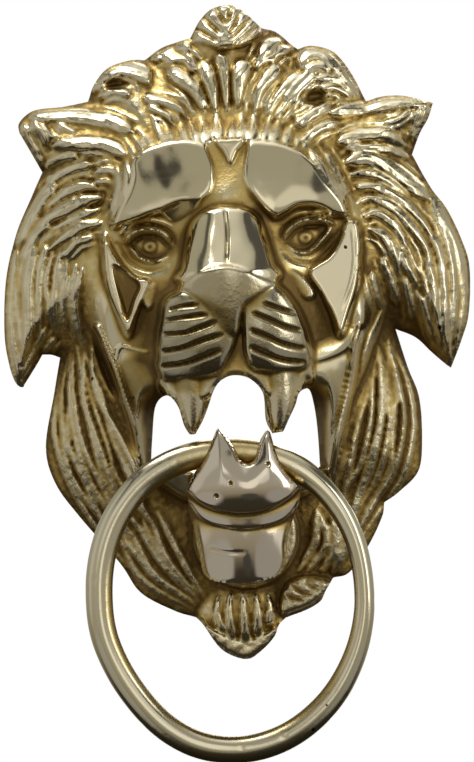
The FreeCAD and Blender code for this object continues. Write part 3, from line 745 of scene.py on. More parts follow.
def mane(relief):
    """The whole of the hair, from the hairline out."""
    hairline(relief)
    locks = TOP_LOCKS + EAR_LOCKS + LEFT_LOCKS + RIGHT_LOCKS
    for points, half_width, _ in locks:
        side_strands(relief, points, half_width)
    for points, half_width, ends in locks:
        strands = 3 if half_width > 2.1 else 2 if half_width > 1.35 else 0
        relief.lock(points, half_width, 0.85 * half_width + 0.5, 0.8, *ends, strands)
    for fan in STRAND_FANS:
        strand_fan(relief, *fan)
    chin_tuft(relief)
    palmette(relief)
    side_lobe(relief)
    # the open middles of the two curls at the top
    relief.bump((-29.5, 70.6), (4.2, 1.8), -2.6)
    relief.bump((26, 64.4), (4.2, 2.6), -3)


# ---- the head as a relief with a hollow back ----
def head_ground(relief, rim):
    """The head without its sculpted forms: the mane's dome, and the face rising out of its middle."""
    x, z = relief.x, relief.z
    in_face = inside_distance(x, z, smooth_path(FACE_OUTLINE, closed=True))
    face_share = ramp(in_face, -4, 3)
    thin = 1 - 0.34 * ramp(-z, 20, 60)
    mane_base = 4 + 15 * thin * (1 - np.exp(-np.clip(rim, 0, None) / 12))
    mane_base += 4 * np.exp(-np.clip(-in_face, 0, None) / 7) * ramp(z, -20, 20)
    for height in (STUD_HEIGHT, -STUD_HEIGHT):
        cover = STUD_ROOM * np.clip(1 - (np.hypot(x, z - height) / 15) ** 2, 0, 1) ** 0.6
        mane_base = np.maximum(mane_base, cover)
    relief.base = mane_base + face_share * (skin(x, z, FACE_SKIN) - mane_base)
    relief.depth = relief.base.copy()
    return face_share


def throat(relief):
    """The pocket behind the jaw, with a flat seat in its middle and a ledge over each shoulder."""
    x, z = relief.x, relief.z
    seat = np.hypot(x - JAW_X, z - SEAT_HEIGHT) / 15.5
    pocket = ramp(1.5 - seat, 0, 0.45) * ramp(-z, 38, 41)
    relief.depth += pocket * (np.minimum(relief.depth, JAW_SEAT - 0.8) - relief.depth)
    relief.depth = np.where(seat < 0.95, JAW_SEAT - 0.05, relief.depth)
    for ledge in (
        [(-25, -38.5), (-16, -38.2), (-11.4, -39), (-12.4, -46.4), (-16.5, -46), (-21, -42.4)],
        [(12, -39), (18, -39.2), (25, -40), (21.6, -43.4), (19, -46.8), (14.6, -46.4)],
    ):
        relief.form(ledge, lambda x, z: LEDGE_DEPTH + 0.25 * (z + 42))


def cast_skin(relief, face_share):
    """Fine unevenness, coarser in the hair than on the face; returns how polished each place is."""
    x, z = relief.x, relief.z
    rough = 1 - ramp(face_share, 0.3, 0.9)
    low_lying = ramp(blurred(relief.depth, 1.5, GRID) - relief.depth, 0.1, 0.9)
    relief.depth += (0.06 + 0.2 * low_lying) * rough * wavy_noise(x, z, 1.9, 3)
    relief.depth += 0.08 * wavy_noise(x, z, 9, 4, octaves=1) + 0.12 * rough * wavy_noise(x, z, 3.4, 5)
    # the lower mane is left rougher and duller than the rest, but not the tuft under the chin
    low_mane = rough * ramp(-z, -25, 5) * ramp(-np.abs(x), -58, -52)
    low_mane *= 1 - ramp(1.3 - np.hypot(x / 13, (z + 84) / 10), 0, 0.4)
    relief.depth += 0.14 * low_mane * wavy_noise(x, z, 2.2, 6)
    relief.stain += 0.1 * low_mane
    return np.maximum(face_share, 0.72 - 0.6 * low_mane) - relief.matte


def head_relief():
    """The whole front of the head, with how far inside it each place is, and how polished."""
    low, high = (HEAD_LOW.x - 2, HEAD_LOW.z - 2), (HEAD_HIGH.x + 2, HEAD_HIGH.z + 2)
    relief = Relief(low, high, GRID)
    x, z = relief.x, relief.z
    rim = inside_distance(x, z, cornered_path(HEAD_OUTLINE))
    gap = -inside_distance(x, z, cornered_path(MOUTH_OUTLINE))
    solid = np.minimum(rim, gap)
    face_share = head_ground(relief, rim)
    for sculpt in (mane, forehead_planes, eyes, cheeks, nose, muzzle):
        sculpt(relief)
    # the walls of the mouth slope back towards the door beside the jaw
    beside = ramp(np.abs(x), 18.5, 21) * ramp(-z, 12, 26)
    wall = MOUTH_WALL_DEPTH + 2.4 * np.clip(gap, 0, 10)
    relief.depth += beside * (np.minimum(wall, relief.depth) - relief.depth)
    upper_fangs(relief)
    throat(relief)
    polish = cast_skin(relief, face_share)
    relief.depth = blurred(eased_walls(relief.depth, GRID), 0.3, GRID)
    edge = 1.6
    relief.depth -= edge * (1 - np.sqrt(1 - np.clip(1 - solid / edge, 0, 1) ** 2))
    relief.depth = np.clip(relief.depth, 2.2, NOSE_DEPTH)
    return relief, solid, rim, polish


def head_back(relief, solid, rim):
    """Depth of the hollow behind each place: 0 on the rim that bears on the door."""
    x, z = relief.x, relief.z
    inside = (solid > -1).astype(float)
    wall, thinnest, rim_width = 4.5, 2.4, 4.5
    front = blurred(relief.depth, 2.2, relief.step, inside)
    back = np.minimum(front - wall, relief.depth - thinnest)
    back = np.minimum(back, 2.2 * np.clip(rim - rim_width, 0, None))
    # a thicker web behind the jaw's seat
    web = np.hypot(x - JAW_X, z - SEAT_HEIGHT + 1)
    back = np.where(web < 19.5, np.minimum(back, THROAT_BACK + 0.1), back)
    # a boss round each stud, with a recess for its nut and a hole for the stud itself
    for height in (STUD_HEIGHT, -STUD_HEIGHT):
        away = np.hypot(x, z - height)
        for radius, depth in ((11, 0), (6.5, 5.2), (2.6, STUD_DEPTH - 0.5)):
            back = np.where(away < radius, depth, back)
    return np.clip(back, 0, None)


def mesh_piece(name, places, faces, attributes):
    """A piece from places in millimetres, with named values on its vertices."""
    mesh = bpy.data.meshes.new(name)
    mesh.from_pydata((places * MM).tolist(), [], faces)
    for label, values in attributes.items():
        mesh.attributes.new(label, "FLOAT", "POINT").data.foreach_set("value", values.astype(np.float32))
    mesh.validate()
    piece = bpy.data.objects.new(name, mesh)
    bpy.context.scene.collection.objects.link(piece)
    return piece


def relief_mesh(name, relief, back, solid, attributes):
    """A closed mesh from a front and a back depth over the places where solid is positive.

    Each attribute has its values on the front and one value for the whole back.
    """
    step = relief.step
    keep = solid > 0.2 * step
    cells = keep[:-1, :-1] & keep[1:, :-1] & keep[:-1, 1:] & keep[1:, 1:]
    used = np.zeros_like(keep)
    first, rest = slice(None, -1), slice(1, None)
    for rows, columns in ((first, first), (rest, first), (first, rest), (rest, rest)):
        used[rows, columns] |= cells
    index = np.full(keep.shape, -1)
    count = int(used.sum())
    index[used] = np.arange(count)
    a, b = index[:-1, :-1][cells], index[:-1, 1:][cells]
    c, d = index[1:, 1:][cells], index[1:, :-1][cells]
    front_faces = np.stack([a, b, c, d], axis=1)

    # an edge is on the border if no face runs along it the other way
    edges = np.concatenate([front_faces[:, [corner, (corner + 1) % 4]] for corner in range(4)])
    forwards = edges[:, 0] * count + edges[:, 1]
    backwards = edges[:, 1] * count + edges[:, 0]
    border = edges[~np.isin(forwards, backwards)]

    # places on the border move out to the true outline
    slope_z, slope_x = np.gradient(solid, step)
    on_border = np.zeros(count, bool)
    on_border[border.ravel()] = True
    size = np.maximum(np.hypot(slope_x, slope_z)[used], 0.3)
    reach = np.where(on_border, np.clip(solid[used], 0, 2 * step), 0) / size**2
    x = relief.x[used] - reach * slope_x[used]
    z = relief.z[used] - reach * slope_z[used]

    places = np.vstack([np.c_[x, -relief.depth[used], z], np.c_[x, -back[used], z]])
    walls = np.stack([border[:, 1], border[:, 0], border[:, 0] + count, border[:, 1] + count], axis=1)
    faces = np.concatenate([front_faces, front_faces[:, ::-1] + count, walls])

    values = {label: np.concatenate([field[used], np.full(count, behind)])
              for label, (field, behind) in attributes.items()}
    piece = mesh_piece(name, places, faces.tolist(), values)
    behind = piece.vertex_groups.new(name="behind")
    behind.add(list(range(count, 2 * count)), 1.0, "REPLACE")
    return piece


def thin_out(piece, ratio):
    """Fewer faces on the plain back of a relief."""
    thin = piece.modifiers.new("thin", "DECIMATE")
    thin.ratio = ratio
    thin.vertex_group = "behind"
    bpy.context.view_layer.objects.active = piece
    bpy.ops.object.modifier_apply(modifier=thin.name)


def shade_smooth(piece, angle=50):
    """Smooth shading, but for edges sharper than the angle."""
    piece.data.shade_smooth()
    piece.data.set_sharp_from_angle(angle=math.radians(angle))


def hollow_field(relief, solid):
    """How deep each place lies below what is around it, from 0 on crests to 1 in hollows, with the stain
    added, which also carries painted light and shade.
    """
    inside = (solid > -0.5).astype(float)
    near = blurred(relief.depth, 1.1, relief.step, inside) - relief.depth
    wide = blurred(relief.depth, 4.0, relief.step, inside) - relief.depth
    return np.clip(0.30 + 0.62 * near + 0.12 * wide + relief.stain, 0, 1)


# ---- the lower jaw ----
JAW_OUTLINE = [
    [(-14, -44.5), (-13.3, -41.6), (-9.6, -36.6), (-7.3, -31.9)],
    [(-5.4, -27.7), (-4.6, -27.2)],
    [(-3.9, -27.6), (-2.3, -30), (-0.2, -33.6), (1, -36.4), (3.2, -37.3), (5, -35.9), (6.5, -31.4)],
    [(8.1, -28.8), (8.8, -28.4)],
    [(9.5, -28.9), (10.9, -34.6), (12.6, -39), (15, -42.4)],
    [(17.1, -45), (17, -48), (15.4, -52), (13.2, -58), (12.6, -64), (11.4, -67.6), (9, -69.4), (0, -70.6),
     (-8, -69.6), (-10.8, -67), (-11.8, -60), (-13, -54), (-14, -50)],
]


def saddle_depth(x, z):
    """How far forward the jaw must stay of the ring's bar, with the room the bar needs to turn."""
    room = np.abs(ring_line_z(x) - PIVOT.z) + 1.08 * RING_BAR + 0.45
    height = np.abs(z - PIVOT.z)
    return np.where(height < room, RING_DEPTH + np.sqrt(np.clip(room**2 - height**2, 0, None)), 0.0)


def jaw_relief():
    """The front of the jaw: the chin, the lower lip over it, and the dome with the two fangs."""
    low, high = (JAW_LOW.x - 1.5, JAW_LOW.z - 1.5), (JAW_HIGH.x + 1.5, JAW_HIGH.z + 1.5)
    relief = Relief(low, high, GRID * 0.7)
    x, z = relief.x, relief.z
    solid = inside_distance(x, z, cornered_path(JAW_OUTLINE))
    relief.base = np.full_like(x, 30.0)
    relief.depth = relief.base.copy()

    def chin_top(x, z):
        return CHIN_DEPTH - 6.5 * ((x - 0.8) / 13.4) ** 2 - 0.01 * (z + 54) ** 2

    def lip_top(x, z):
        return LOWER_LIP_DEPTH - 6.4 * ((x - 1.5) / 15.8) ** 2 + 0.16 * (z + 51)

    def dome_top(x, z):
        across = (x - 1.5) / 16.4
        below = np.clip(-43.5 - z, 0, None) / 8.6
        above = np.clip(z + 43.5, 0, None)
        belly = DOME_DEPTH + 8.7 * np.sqrt(np.clip(1 - across**2, 0.02, 1)) - 2.8 * below**2
        ridge = np.where(x < 2, np.abs(x + 4.6), np.abs(x - 8.7))
        return belly - 0.017 * above**2 - 0.42 * ridge * ramp(z, -44, -34)

    chin = [(-14.8, -44), (17.8, -44), (15, -54), (13.2, -60), (12.8, -66), (9, -70.2), (0, -71.2),
            (-8.4, -70.4), (-11.2, -67), (-12.2, -60), (-13.6, -53)]
    lip = [(-14.8, -43), (18, -43), (17.6, -47.6), (14, -52.4), (8.6, -54.9), (0.5, -55.6), (-8.6, -53.6),
           (-13.4, -49)]
    # the dome with its fangs has the jaw's outline above, and ends in an arc below
    left, right = (-14.4, -44.2), (17.2, -44.4)
    below = [right, (14.4, -47.2), (8.6, -50.3), (1.8, -51.5), (-6, -50.2), (-11.6, -47.2)]
    dome = cornered_path([[left] + JAW_OUTLINE[0][1:], *JAW_OUTLINE[1:5], below])
    relief.form(chin, chin_top, edge=2, fall=1.5)
    relief.form(lip, lip_top, edge=1.2, fall=1)
    relief.form(dome, dome_top, edge=1.2, fall=0.9, smooth=False)
    relief.groove([(-9, -60.4), (-4, -61.8), (1, -62)], 0.7, 0.4, root=0.1, tip=0.5)
    relief.depth = blurred(relief.depth, 0.3, relief.step)
    for pit in ((-6, -46), (8.5, -37.7), (-2, -42.6)):
        relief.bump(pit, (0.8, 0.8), -0.7)
        relief.stain += 0.8 * (np.hypot(x - pit[0], z - pit[1]) < 0.6)
    relief.depth = np.maximum(relief.depth, saddle_depth(x, z) + 0.6)
    relief.depth = np.clip(relief.depth, JAW_SEAT + 3, -JAW_LOW.y)
    return relief, solid


def jaw_back(relief):
    """The jaw's back: the stem on its seat, and above it the saddle that leaves the ring its room."""
    x, z = relief.x, relief.z
    stem = np.hypot((x - JAW_X) / 13.4, (z - SEAT_HEIGHT) / 13.1)
    back = np.where(stem < 1, JAW_SEAT, relief.depth - 7)
    back = np.maximum(back, saddle_depth(x, z))
    return np.clip(back, JAW_SEAT, relief.depth - 0.4)


# ---- the ring ----
RING_CENTRE = ((RING_LOW.x + RING_HIGH.x) / 2, -75.4)
RING_HALF = ((RING_HIGH.x - RING_LOW.x) / 2 - RING_BAR, 41.4)
RING_TOP_POWER = 2.2        # the top is squarer than an ellipse


def ring_line_z(x):
    """Height of the upper half of the ring's centre line at x."""
    across = np.clip(np.abs(x - RING_CENTRE[0]) / RING_HALF[0], 0, 1)
    return RING_CENTRE[1] + RING_HALF[1] * (1 - across**RING_TOP_POWER) ** (1 / RING_TOP_POWER)


def swell(turn, centre, reach):
    """A smooth swelling in one stretch of the ring, with angles in degrees from the top."""
    away = (np.degrees(turn) - centre + 180) % 360 - 180
    return np.exp(-((away / reach) ** 2))


def signed_power(values, power):
    """The power of the size, with the sign kept."""
    return np.sign(values) * np.abs(values) ** power


def dents(turn, spin, count):
    """Small shallow dents at random places on the ring."""
    reach = 40.0        # about the ring's half height, which turns angles into lengths
    total = np.zeros((len(turn), len(spin)))
    for _ in range(count):
        place, spot = rng.uniform(0, 2 * math.pi), rng.uniform(0, 2 * math.pi)
        along = ((turn - place + math.pi) % (2 * math.pi) - math.pi) * reach
        beside = ((spin - spot + math.pi) % (2 * math.pi) - math.pi) * RING_BAR
        away = along[:, None] ** 2 + beside**2
        total += rng.uniform(0.05, 0.14) * np.exp(-away / rng.uniform(0.3, 1))
    return total


def build_ring():
    """An uneven cast ring: thinner on the right, and a little flattened at the lower left."""
    around, across = ((480, 40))
    turn = np.linspace(0, 2 * math.pi, around, endpoint=False)
    power = 2 / np.where(np.cos(turn) > 0, RING_TOP_POWER, 2)
    unit_line = np.c_[signed_power(np.sin(turn), power), signed_power(np.cos(turn), power)]
    line = RING_CENTRE + unit_line * RING_HALF
    heading = np.roll(line, -1, 0) - np.roll(line, 1, 0)
    heading /= np.hypot(*heading.T)[:, None]
    outward = np.c_[-heading[:, 1], heading[:, 0]]

    wander = 0.10 * np.sin(5 * turn + 1) + 0.07 * np.sin(11 * turn + 2) + 0.05 * np.sin(17 * turn)
    away_from_top = 1 - swell(turn, 2, 26)
    half = RING_BAR - away_from_top * (0.12 + 1.0 * swell(turn, 84, 44) + 0.12 * np.abs(wander))
    shift = (RING_BAR - half) + away_from_top * (0.5 * np.minimum(wander, 0) - 1.3 * swell(turn, 232, 24))
    middle = line + shift[:, None] * outward

    spin = np.linspace(0, 2 * math.pi, across, endpoint=False)
    out, forward = signed_power(np.cos(spin), 0.92), signed_power(np.sin(spin), 0.92)
    thickness = RING_BAR - away_from_top * (0.15 + 0.12 * np.abs(wander))
    dent = dents(turn, spin, 26) * away_from_top[:, None]
    size = 1 - dent / RING_BAR
    beside = half[:, None] * out * size
    places = np.empty((around, across, 3))
    places[..., 0] = middle[:, :1] + outward[:, :1] * beside
    places[..., 1] = -RING_DEPTH - thickness[:, None] * forward * size
    places[..., 2] = middle[:, 1:] + outward[:, 1:] * beside

    first = np.arange(around * across).reshape(around, across)
    ahead = np.roll(first, -1, 0)
    faces = np.stack([first, np.roll(first, -1, 1), np.roll(ahead, -1, 1), ahead], axis=-1).reshape(-1, 4)
    # stained inside and at the top; darker below and towards the outer edges, which is painted shade,
    # carried both in the stain and in the shade values
    inner = np.clip(-out, 0, 1) ** 1.5 * (0.34 + 0.12 * np.sin(3 * turn + 1))[:, None]
    under = np.clip(out, 0, 1) * swell(turn, 180, 60)[:, None]
    stain = 0.26 + inner + 0.8 * dent + 0.22 * swell(turn, 0, 30)[:, None] + 0.25 * under
    shade = 0.55 * under + 0.22 * np.abs(out) ** 3 + 0.12 * swell(turn, 180, 80)[:, None]
    values = {"hollow": stain.ravel(), "polish": np.ones(stain.size), "shade": shade.ravel()}
    piece = mesh_piece("uneven_ring", places.reshape(-1, 3), faces.tolist(), values)
    shade_smooth(piece)
    piece.data.materials.append(brass("ring_brass_cast", bright=(0.66, 0.61, 0.455), gloss=0.14))
    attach(piece, "ring")
    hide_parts("knocker_ring")


# ---- the studs ----
def threaded_rod(name, centre, stretches):
    """A rod square to the door, with a thread on each (front depth, back depth, radius, pitch)."""
    sides = 24
    turns = np.linspace(0, 2 * math.pi, sides, endpoint=False)

    def ring(depth, radius):
        circle = np.c_[radius * np.cos(turns), 0 * turns, radius * np.sin(turns)]
        return circle + (centre[0], -depth, centre[1])

    rings = []
    for front, back, radius, pitch in stretches:
        for depth in np.linspace(front, back, int((front - back) / pitch * 7)):
            ends = np.clip(min(front - depth, depth - back) / pitch, 0, 1)
            phase = (depth / pitch - turns / (2 * math.pi)) % 1
            valley = 1 - ramp(1 - np.abs(2 * phase - 1), 0.1, 0.9)
            cut = 0.55 * pitch * (0.25 + 0.75 * ends) * valley
            rings.append(ring(depth, radius - cut - 0.3 * (1 - ends)))
    # each end is closed by a ring drawn in to a point's width
    small = 0.04
    rings = [ring(stretches[0][0], small)] + rings + [ring(stretches[-1][1], small)]
    first = np.arange((len(rings) - 1) * sides).reshape(-1, sides)
    beside = np.roll(first, -1, 1)
    faces = np.stack([first, beside, beside + sides, first + sides], axis=-1).reshape(-1, 4).tolist()
    faces += [list(range(sides))[::-1], list(range((len(rings) - 1) * sides, len(rings) * sides))]
    return mesh_piece(name, np.vstack(rings), faces, {})


# ---- materials ----
class Nodes:
    """A small helper to build node trees by name."""

    def __init__(self, tree):
        self.tree = tree
        tree.nodes.clear()

    def add(self, kind, inputs=(), **settings):
        node = self.tree.nodes.new("ShaderNode" + kind)
        for key, value in settings.items():
            setattr(node, key, value)
        for key, value in dict(inputs).items():
            if isinstance(value, bpy.types.NodeSocket):
                self.tree.links.new(value, node.inputs[key])
            else:
                node.inputs[key].default_value = value
        return node

    def math(self, operation, first, second=0.0, clamp=False):
        return self.add("Math", {0: first, 1: second}, operation=operation, use_clamp=clamp).outputs[0]

    def plus(self, first, *others, clamp=False):
        """The sum of the values, limited to 0 to 1 at the end if asked."""
        for other in others:
            first = self.math("ADD", first, other, clamp=clamp and other is others[-1])
        return first

    def times(self, value, amount):
        return self.math("MULTIPLY", value, amount)

    def about(self, noise, amount):
        """A noise turned into a value that goes up and down round 0."""
        return self.times(self.math("SUBTRACT", noise, 0.5), amount)

    def noise(self, place, scale, detail, roughness=0.5):
        inputs = {"Vector": place, "Scale": scale, "Detail": detail, "Roughness": roughness}
        return self.add("TexNoise", inputs).outputs["Fac"]

    def value_of(self, label):
        """A named value on the mesh."""
        return self.add("Attribute", attribute_name=label).outputs["Fac"]

    def spread(self, value, low, high, first, last):
        inputs = {"Value": value, "From Min": low, "From Max": high, "To Min": first, "To Max": last}
        return self.add("MapRange", inputs).outputs[0]

    def mixed(self, first, second, share, blend="MIX"):
        inputs = {"Factor": share, "A": first, "B": second}
        return self.add("Mix", inputs, data_type="RGBA", blend_type=blend).outputs["Result"]

    def ramp(self, value, stops):
        node = self.add("ValToRGB", {"Fac": value})
        ramp = node.color_ramp
        while len(ramp.elements) < len(stops):
            ramp.elements.new(0.5)
        for element, (place, colour) in zip(ramp.elements, stops):
            element.position = place
            element.color = (*colour, 1.0)
        return node.outputs["Color"]

    def finish(self, shader, kind="Material"):
        output = self.add("Output" + kind)
        self.tree.links.new(shader.outputs[0], output.inputs["Surface"])


def new_material(name):
    """An empty material and the helper that builds its nodes."""
    material = bpy.data.materials.new(name)
    material.use_nodes = True
    nodes = Nodes(material.node_tree)
    return material, nodes


BRIGHT = (0.64, 0.575, 0.40)
PALE_GOLD = (0.58, 0.465, 0.215)
OLD_GOLD = (0.46, 0.325, 0.105)
BROWN = (0.19, 0.123, 0.042)
PIT = (0.05, 0.035, 0.02, 1.0)


def brass(name, bright=BRIGHT, gloss=0.11):
    """Cast brass: bright on the polished crests and stained gold to brown in the hollows; the hollow
    values bring painted light and shade into the stain, and the shade values darken the colour as painted
    shade.
    """
    material, nodes = new_material(name)
    place = nodes.add("TexCoord").outputs["Object"]
    cloud = nodes.noise(place, 120.0, 5.0, 0.6)
    grain = nodes.noise(place, 900.0, 4.0, 0.65)
    broad = nodes.noise(place, 28.0, 3.0)
    dull = nodes.math("SUBTRACT", 1.0, nodes.value_of("polish"))
    wear = 0.3
    stain = nodes.plus(nodes.value_of("hollow"), nodes.times(dull, 0.24), nodes.about(cloud, wear),
                       nodes.about(broad, wear), nodes.about(grain, 0.35 * wear), clamp=True)
    stained = nodes.ramp(stain, [
        (0.0, bright), (0.36, bright), (0.52, PALE_GOLD), (0.74, OLD_GOLD), (1.0, BROWN)])
    tint = nodes.ramp(broad, [(0.35, (1.0, 0.97, 0.90)), (0.65, (0.96, 0.95, 0.97))])
    tinted = nodes.mixed(stained, tint, 0.6, "MULTIPLY")
    # painted shade: the colour is darkened by the shade values
    light = nodes.math("SUBTRACT", 1.0, nodes.value_of("shade"))
    shaded = nodes.add("HueSaturation", {"Value": light, "Color": tinted}).outputs[0]

    pits = nodes.add("TexVoronoi", {"Vector": place, "Scale": 210.0, "Randomness": 1.0})
    pit_size = nodes.math("SUBTRACT", nodes.noise(place, 95.0, 2.0), 0.58, clamp=True)
    pit = nodes.math("LESS_THAN", pits.outputs["Distance"], nodes.times(pit_size, 1.4))
    colour = nodes.mixed(shaded, PIT, pit)

    streak_place = nodes.add("Mapping", {"Vector": place, "Scale": (60.0, 60.0, 900.0)}).outputs[0]
    streaks = nodes.about(nodes.noise(streak_place, 1.0, 3.0), 0.08)
    rough = nodes.plus(nodes.spread(stain, 0.3, 0.85, gloss, 0.5), streaks, nodes.times(dull, 0.14))
    height = nodes.plus(nodes.times(grain, 0.35), nodes.times(cloud, 0.65))
    strength = nodes.plus(nodes.spread(stain, 0.3, 0.9, 0.02, 0.3), nodes.times(dull, 0.8), clamp=True)
    bump = nodes.add("Bump", {"Height": height, "Strength": strength, "Distance": 0.0011}).outputs[0]
    nodes.finish(nodes.add("BsdfPrincipled", {
        "Base Color": colour, "Metallic": 1.0, "Roughness": rough, "Normal": bump}))
    return material


def plated_steel(name):
    """Zinc-plated steel with a faint spangle."""
    material, nodes = new_material(name)
    spangle = nodes.noise(nodes.add("TexCoord").outputs["Object"], 500.0, 3.0)
    colour = nodes.ramp(spangle, [(0.3, (0.42, 0.43, 0.44)), (0.7, (0.62, 0.62, 0.60))])
    rough = nodes.spread(spangle, 0.0, 1.0, 0.24, 0.42)
    nodes.finish(nodes.add("BsdfPrincipled", {"Base Color": colour, "Metallic": 1.0, "Roughness": rough}))
    return material


# ---- pieces ----
def build_head():
    """The sculpted head, which stands for the plain casting of the CAD."""
    relief, solid, rim, polish = head_relief()
    hollow = hollow_field(relief, solid)
    # the hollow values carry painted light and shade from the stain, such as the lightened band under the
    # chin
    values = {"hollow": (hollow, 0.72), "polish": (polish, 0.2), "shade": (relief.shade, 0)}
    piece = relief_mesh("lion_head", relief, head_back(relief, solid, rim), solid, values)
    thin_out(piece, 0.6)
    shade_smooth(piece)
    piece.data.materials.append(brass("head_brass_cast"))
    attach(piece, "head")
    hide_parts("head_casting")


def build_jaw():
    """The polished jaw with its two fangs."""
    relief, solid = jaw_relief()
    values = {"hollow": (hollow_field(relief, solid), 0.6), "polish": (np.ones_like(solid), 0.5)}
    piece = relief_mesh("jaw_casting", relief, jaw_back(relief), solid, values)
    thin_out(piece, 0.7)
    shade_smooth(piece)
    piece.data.materials.append(brass("jaw_brass_cast", bright=(0.60, 0.535, 0.435)))
    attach(piece, "head")
    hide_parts("lower_jaw")


def build_steel():
    """The screws, washers and nuts as they are in the CAD, and the studs with their threads."""
    steel = plated_steel("zinc_steel")
    for node, thing in frame["nodes"].items():
        if node.startswith(("jaw_screw", "jaw_washer", "stud_lock_nut")):
            thing.data.materials.clear()
            thing.data.materials.append(steel)
    for level in ("upper", "lower"):
        node = "fixing_stud_" + level
        low, high = [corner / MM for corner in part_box(node)]
        centre = ((low.x + high.x) / 2, (low.z + high.z) / 2)
        in_casting, in_door = (-low.y, 0.0, 2.48, 0.8), (0.0, -high.y, 2.98, 1.0)
        stud = threaded_rod("threaded_" + node, centre, [in_casting, in_door])
        shade_smooth(stud, 30)
        stud.data.materials.append(steel)
        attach(stud, "head")
        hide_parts(node)


# ---- stage, lights and camera ----
# What the metal sees in the room: a direction, how far it reaches each way, and how bright it is.
ROOM_PARTS = [
    ((0.10, -0.97, 0.18), (0.15, 1.0, 0.30), 1.15),
    ((-0.36, -0.90, 0.20), (0.18, 1.0, 0.16), 0.75),
    ((0.38, -0.90, 0.28), (0.16, 1.0, 0.18), 0.85),
    ((-0.95, -0.20, 0.30), (0.30, 0.35, 0.45), 0.62),
    ((0.95, -0.30, 0.20), (0.22, 0.22, 0.55), 0.9),
    ((-0.70, -0.50, -0.40), (0.40, 0.60, 0.28), 0.46),
    ((0.70, -0.50, -0.40), (0.40, 0.60, 0.28), 0.40),
    ((-0.32, -0.73, 0.60), (0.085, 1.0, 0.12), 0.05),
    ((0.53, -0.71, 0.46), (0.08, 1.0, 0.12), 0.07),
    ((0.72, -0.30, 0.64), (0.12, 1.0, 0.20), 0.10),
    ((-0.62, -0.40, 0.66), (0.07, 1.0, 0.30), 0.10),
    ((0.10, -0.90, -0.43), (0.16, 1.0, 0.12), 0.07),
]


def build_world():
    """A pale studio seen in the metal: bright overhead and beside the camera, and dark below."""
    world = bpy.data.worlds.new("studio")
    bpy.context.scene.world = world
    world.use_nodes = True
    nodes = Nodes(world.node_tree)

    def vector(operation, first, second):
        return nodes.add("VectorMath", {0: first, 1: second}, operation=operation).outputs[0]

    direction = nodes.add("TexCoord").outputs["Generated"]
    up = nodes.add("SeparateXYZ", {"Vector": direction}).outputs["Z"]
    colour = nodes.ramp(nodes.plus(nodes.times(up, 0.5), 0.5), [
        (0.0, (0.04, 0.034, 0.022)), (0.25, (0.05, 0.043, 0.03)), (0.35, (0.34, 0.305, 0.23)),
        (0.50, (0.46, 0.435, 0.37)), (0.60, (0.48, 0.47, 0.42)), (0.88, (0.44, 0.43, 0.385)),
        (0.955, (0.95, 0.95, 0.92)), (1.0, (1.5, 1.5, 1.5))])
    # the parts' edges wander a little, by half of the shift to each side
    shift = 0.08
    ragged = nodes.add("TexNoise", {"Vector": direction, "Scale": 5.0, "Detail": 2.0}).outputs["Color"]
    seen_place = vector("ADD", direction, vector("MULTIPLY", ragged, (shift, shift, shift)))
    for centre, reach, light in ROOM_PARTS:
        away = vector("SUBTRACT", seen_place, [value + shift / 2 for value in centre])
        length = nodes.add("VectorMath", {0: vector("DIVIDE", away, reach)}, operation="LENGTH")
        share = nodes.spread(length.outputs["Value"], 1.1, 0.85, 0.0, 1.0)
        colour = nodes.mixed(colour, (light, 0.985 * light, 0.94 * light, 1.0), share)
    surround = nodes.add("Background", {"Color": colour, "Strength": 1.08})
    plain = nodes.add("Background", {"Color": (1.0, 1.0, 1.0, 1.0), "Strength": 1.0})
    seen = nodes.add("LightPath").outputs["Is Camera Ray"]
    nodes.finish(nodes.add("MixShader", {0: seen, 1: surround.outputs[0], 2: plain.outputs[0]}), "World")


def area_light(name, place, size, power):
    """A soft rectangular light that faces the knocker."""
    lamp = bpy.data.lights.new(name, "AREA")
    lamp.shape = "RECTANGLE"
    lamp.size, lamp.size_y = size
    lamp.energy = power
    thing = bpy.data.objects.new(name, lamp)
    thing.location = place
    thing.rotation_euler = (-Vector(place)).to_track_quat("-Z", "Y").to_euler()
    bpy.context.scene.collection.objects.link(thing)


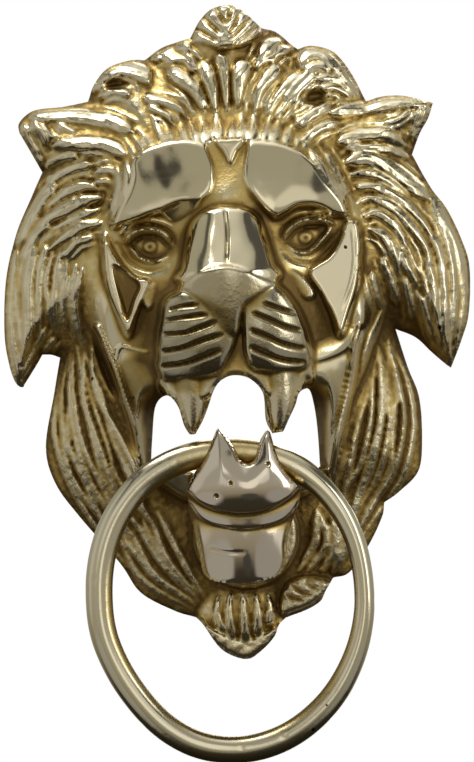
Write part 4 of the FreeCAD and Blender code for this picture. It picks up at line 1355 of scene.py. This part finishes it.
def build_lights():
    """A key light overhead, a fill at the side and one for the back."""
    area_light("key", (-0.35, -0.1, 1.05), (0.7, 0.5), 5.0)
    area_light("fill", (0.8, -0.5, 0.2), (0.25, 0.7), 1.6)
    area_light("back_fill", (0.3, 0.9, 0.5), (0.8, 0.8), 5.0)


def build_floor():
    """A plain pale floor, well below the ring and out of the camera's narrow view."""
    half, drop = 0.55, 0.32
    mesh = bpy.data.meshes.new("floor")
    corners = [(-half, -half, -drop), (half, -half, -drop), (half, half, -drop), (-half, half, -drop)]
    mesh.from_pydata(corners, [], [(0, 1, 2, 3)])
    floor = bpy.data.objects.new("floor", mesh)
    bpy.context.scene.collection.objects.link(floor)
    material, nodes = new_material("pale_floor")
    cloud = nodes.add("TexNoise", {"Scale": 9.0, "Detail": 4.0}).outputs["Fac"]
    colour = nodes.ramp(cloud, [(0.3, (0.83, 0.82, 0.80)), (0.7, (0.88, 0.87, 0.85))])
    nodes.finish(nodes.add("BsdfPrincipled", {"Base Color": colour, "Roughness": 0.7}))
    mesh.materials.append(material)
    floor.visible_glossy = False


def build_camera():
    """Square to the door through a long lens, and tilted as the knocker hangs a little askew."""
    tilt = math.radians(2.5)
    distance = 2.5
    view_width = 0.2134
    centre = Vector((0.00094, -0.02, -0.01433))
    right = Vector((math.cos(tilt), 0, -math.sin(tilt)))
    up = Vector((math.sin(tilt), 0, math.cos(tilt)))
    back = Vector((0, -1, 0))
    camera = bpy.data.cameras.new("camera")
    camera.sensor_width = 36        # as Blender's own, so that the lens length reads as usual
    camera.lens = camera.sensor_width * distance / view_width
    camera.clip_end = 20
    thing = bpy.data.objects.new("camera", camera)
    turn = Matrix((right, up, back)).transposed()
    thing.matrix_world = Matrix.Translation(centre + back * distance) @ turn.to_4x4()
    bpy.context.scene.collection.objects.link(thing)
    bpy.context.scene.camera = thing


bpy.context.scene.view_settings.view_transform = "Standard"
build_head()
build_jaw()
build_ring()
build_steel()
build_world()
build_lights()
build_floor()
build_camera()
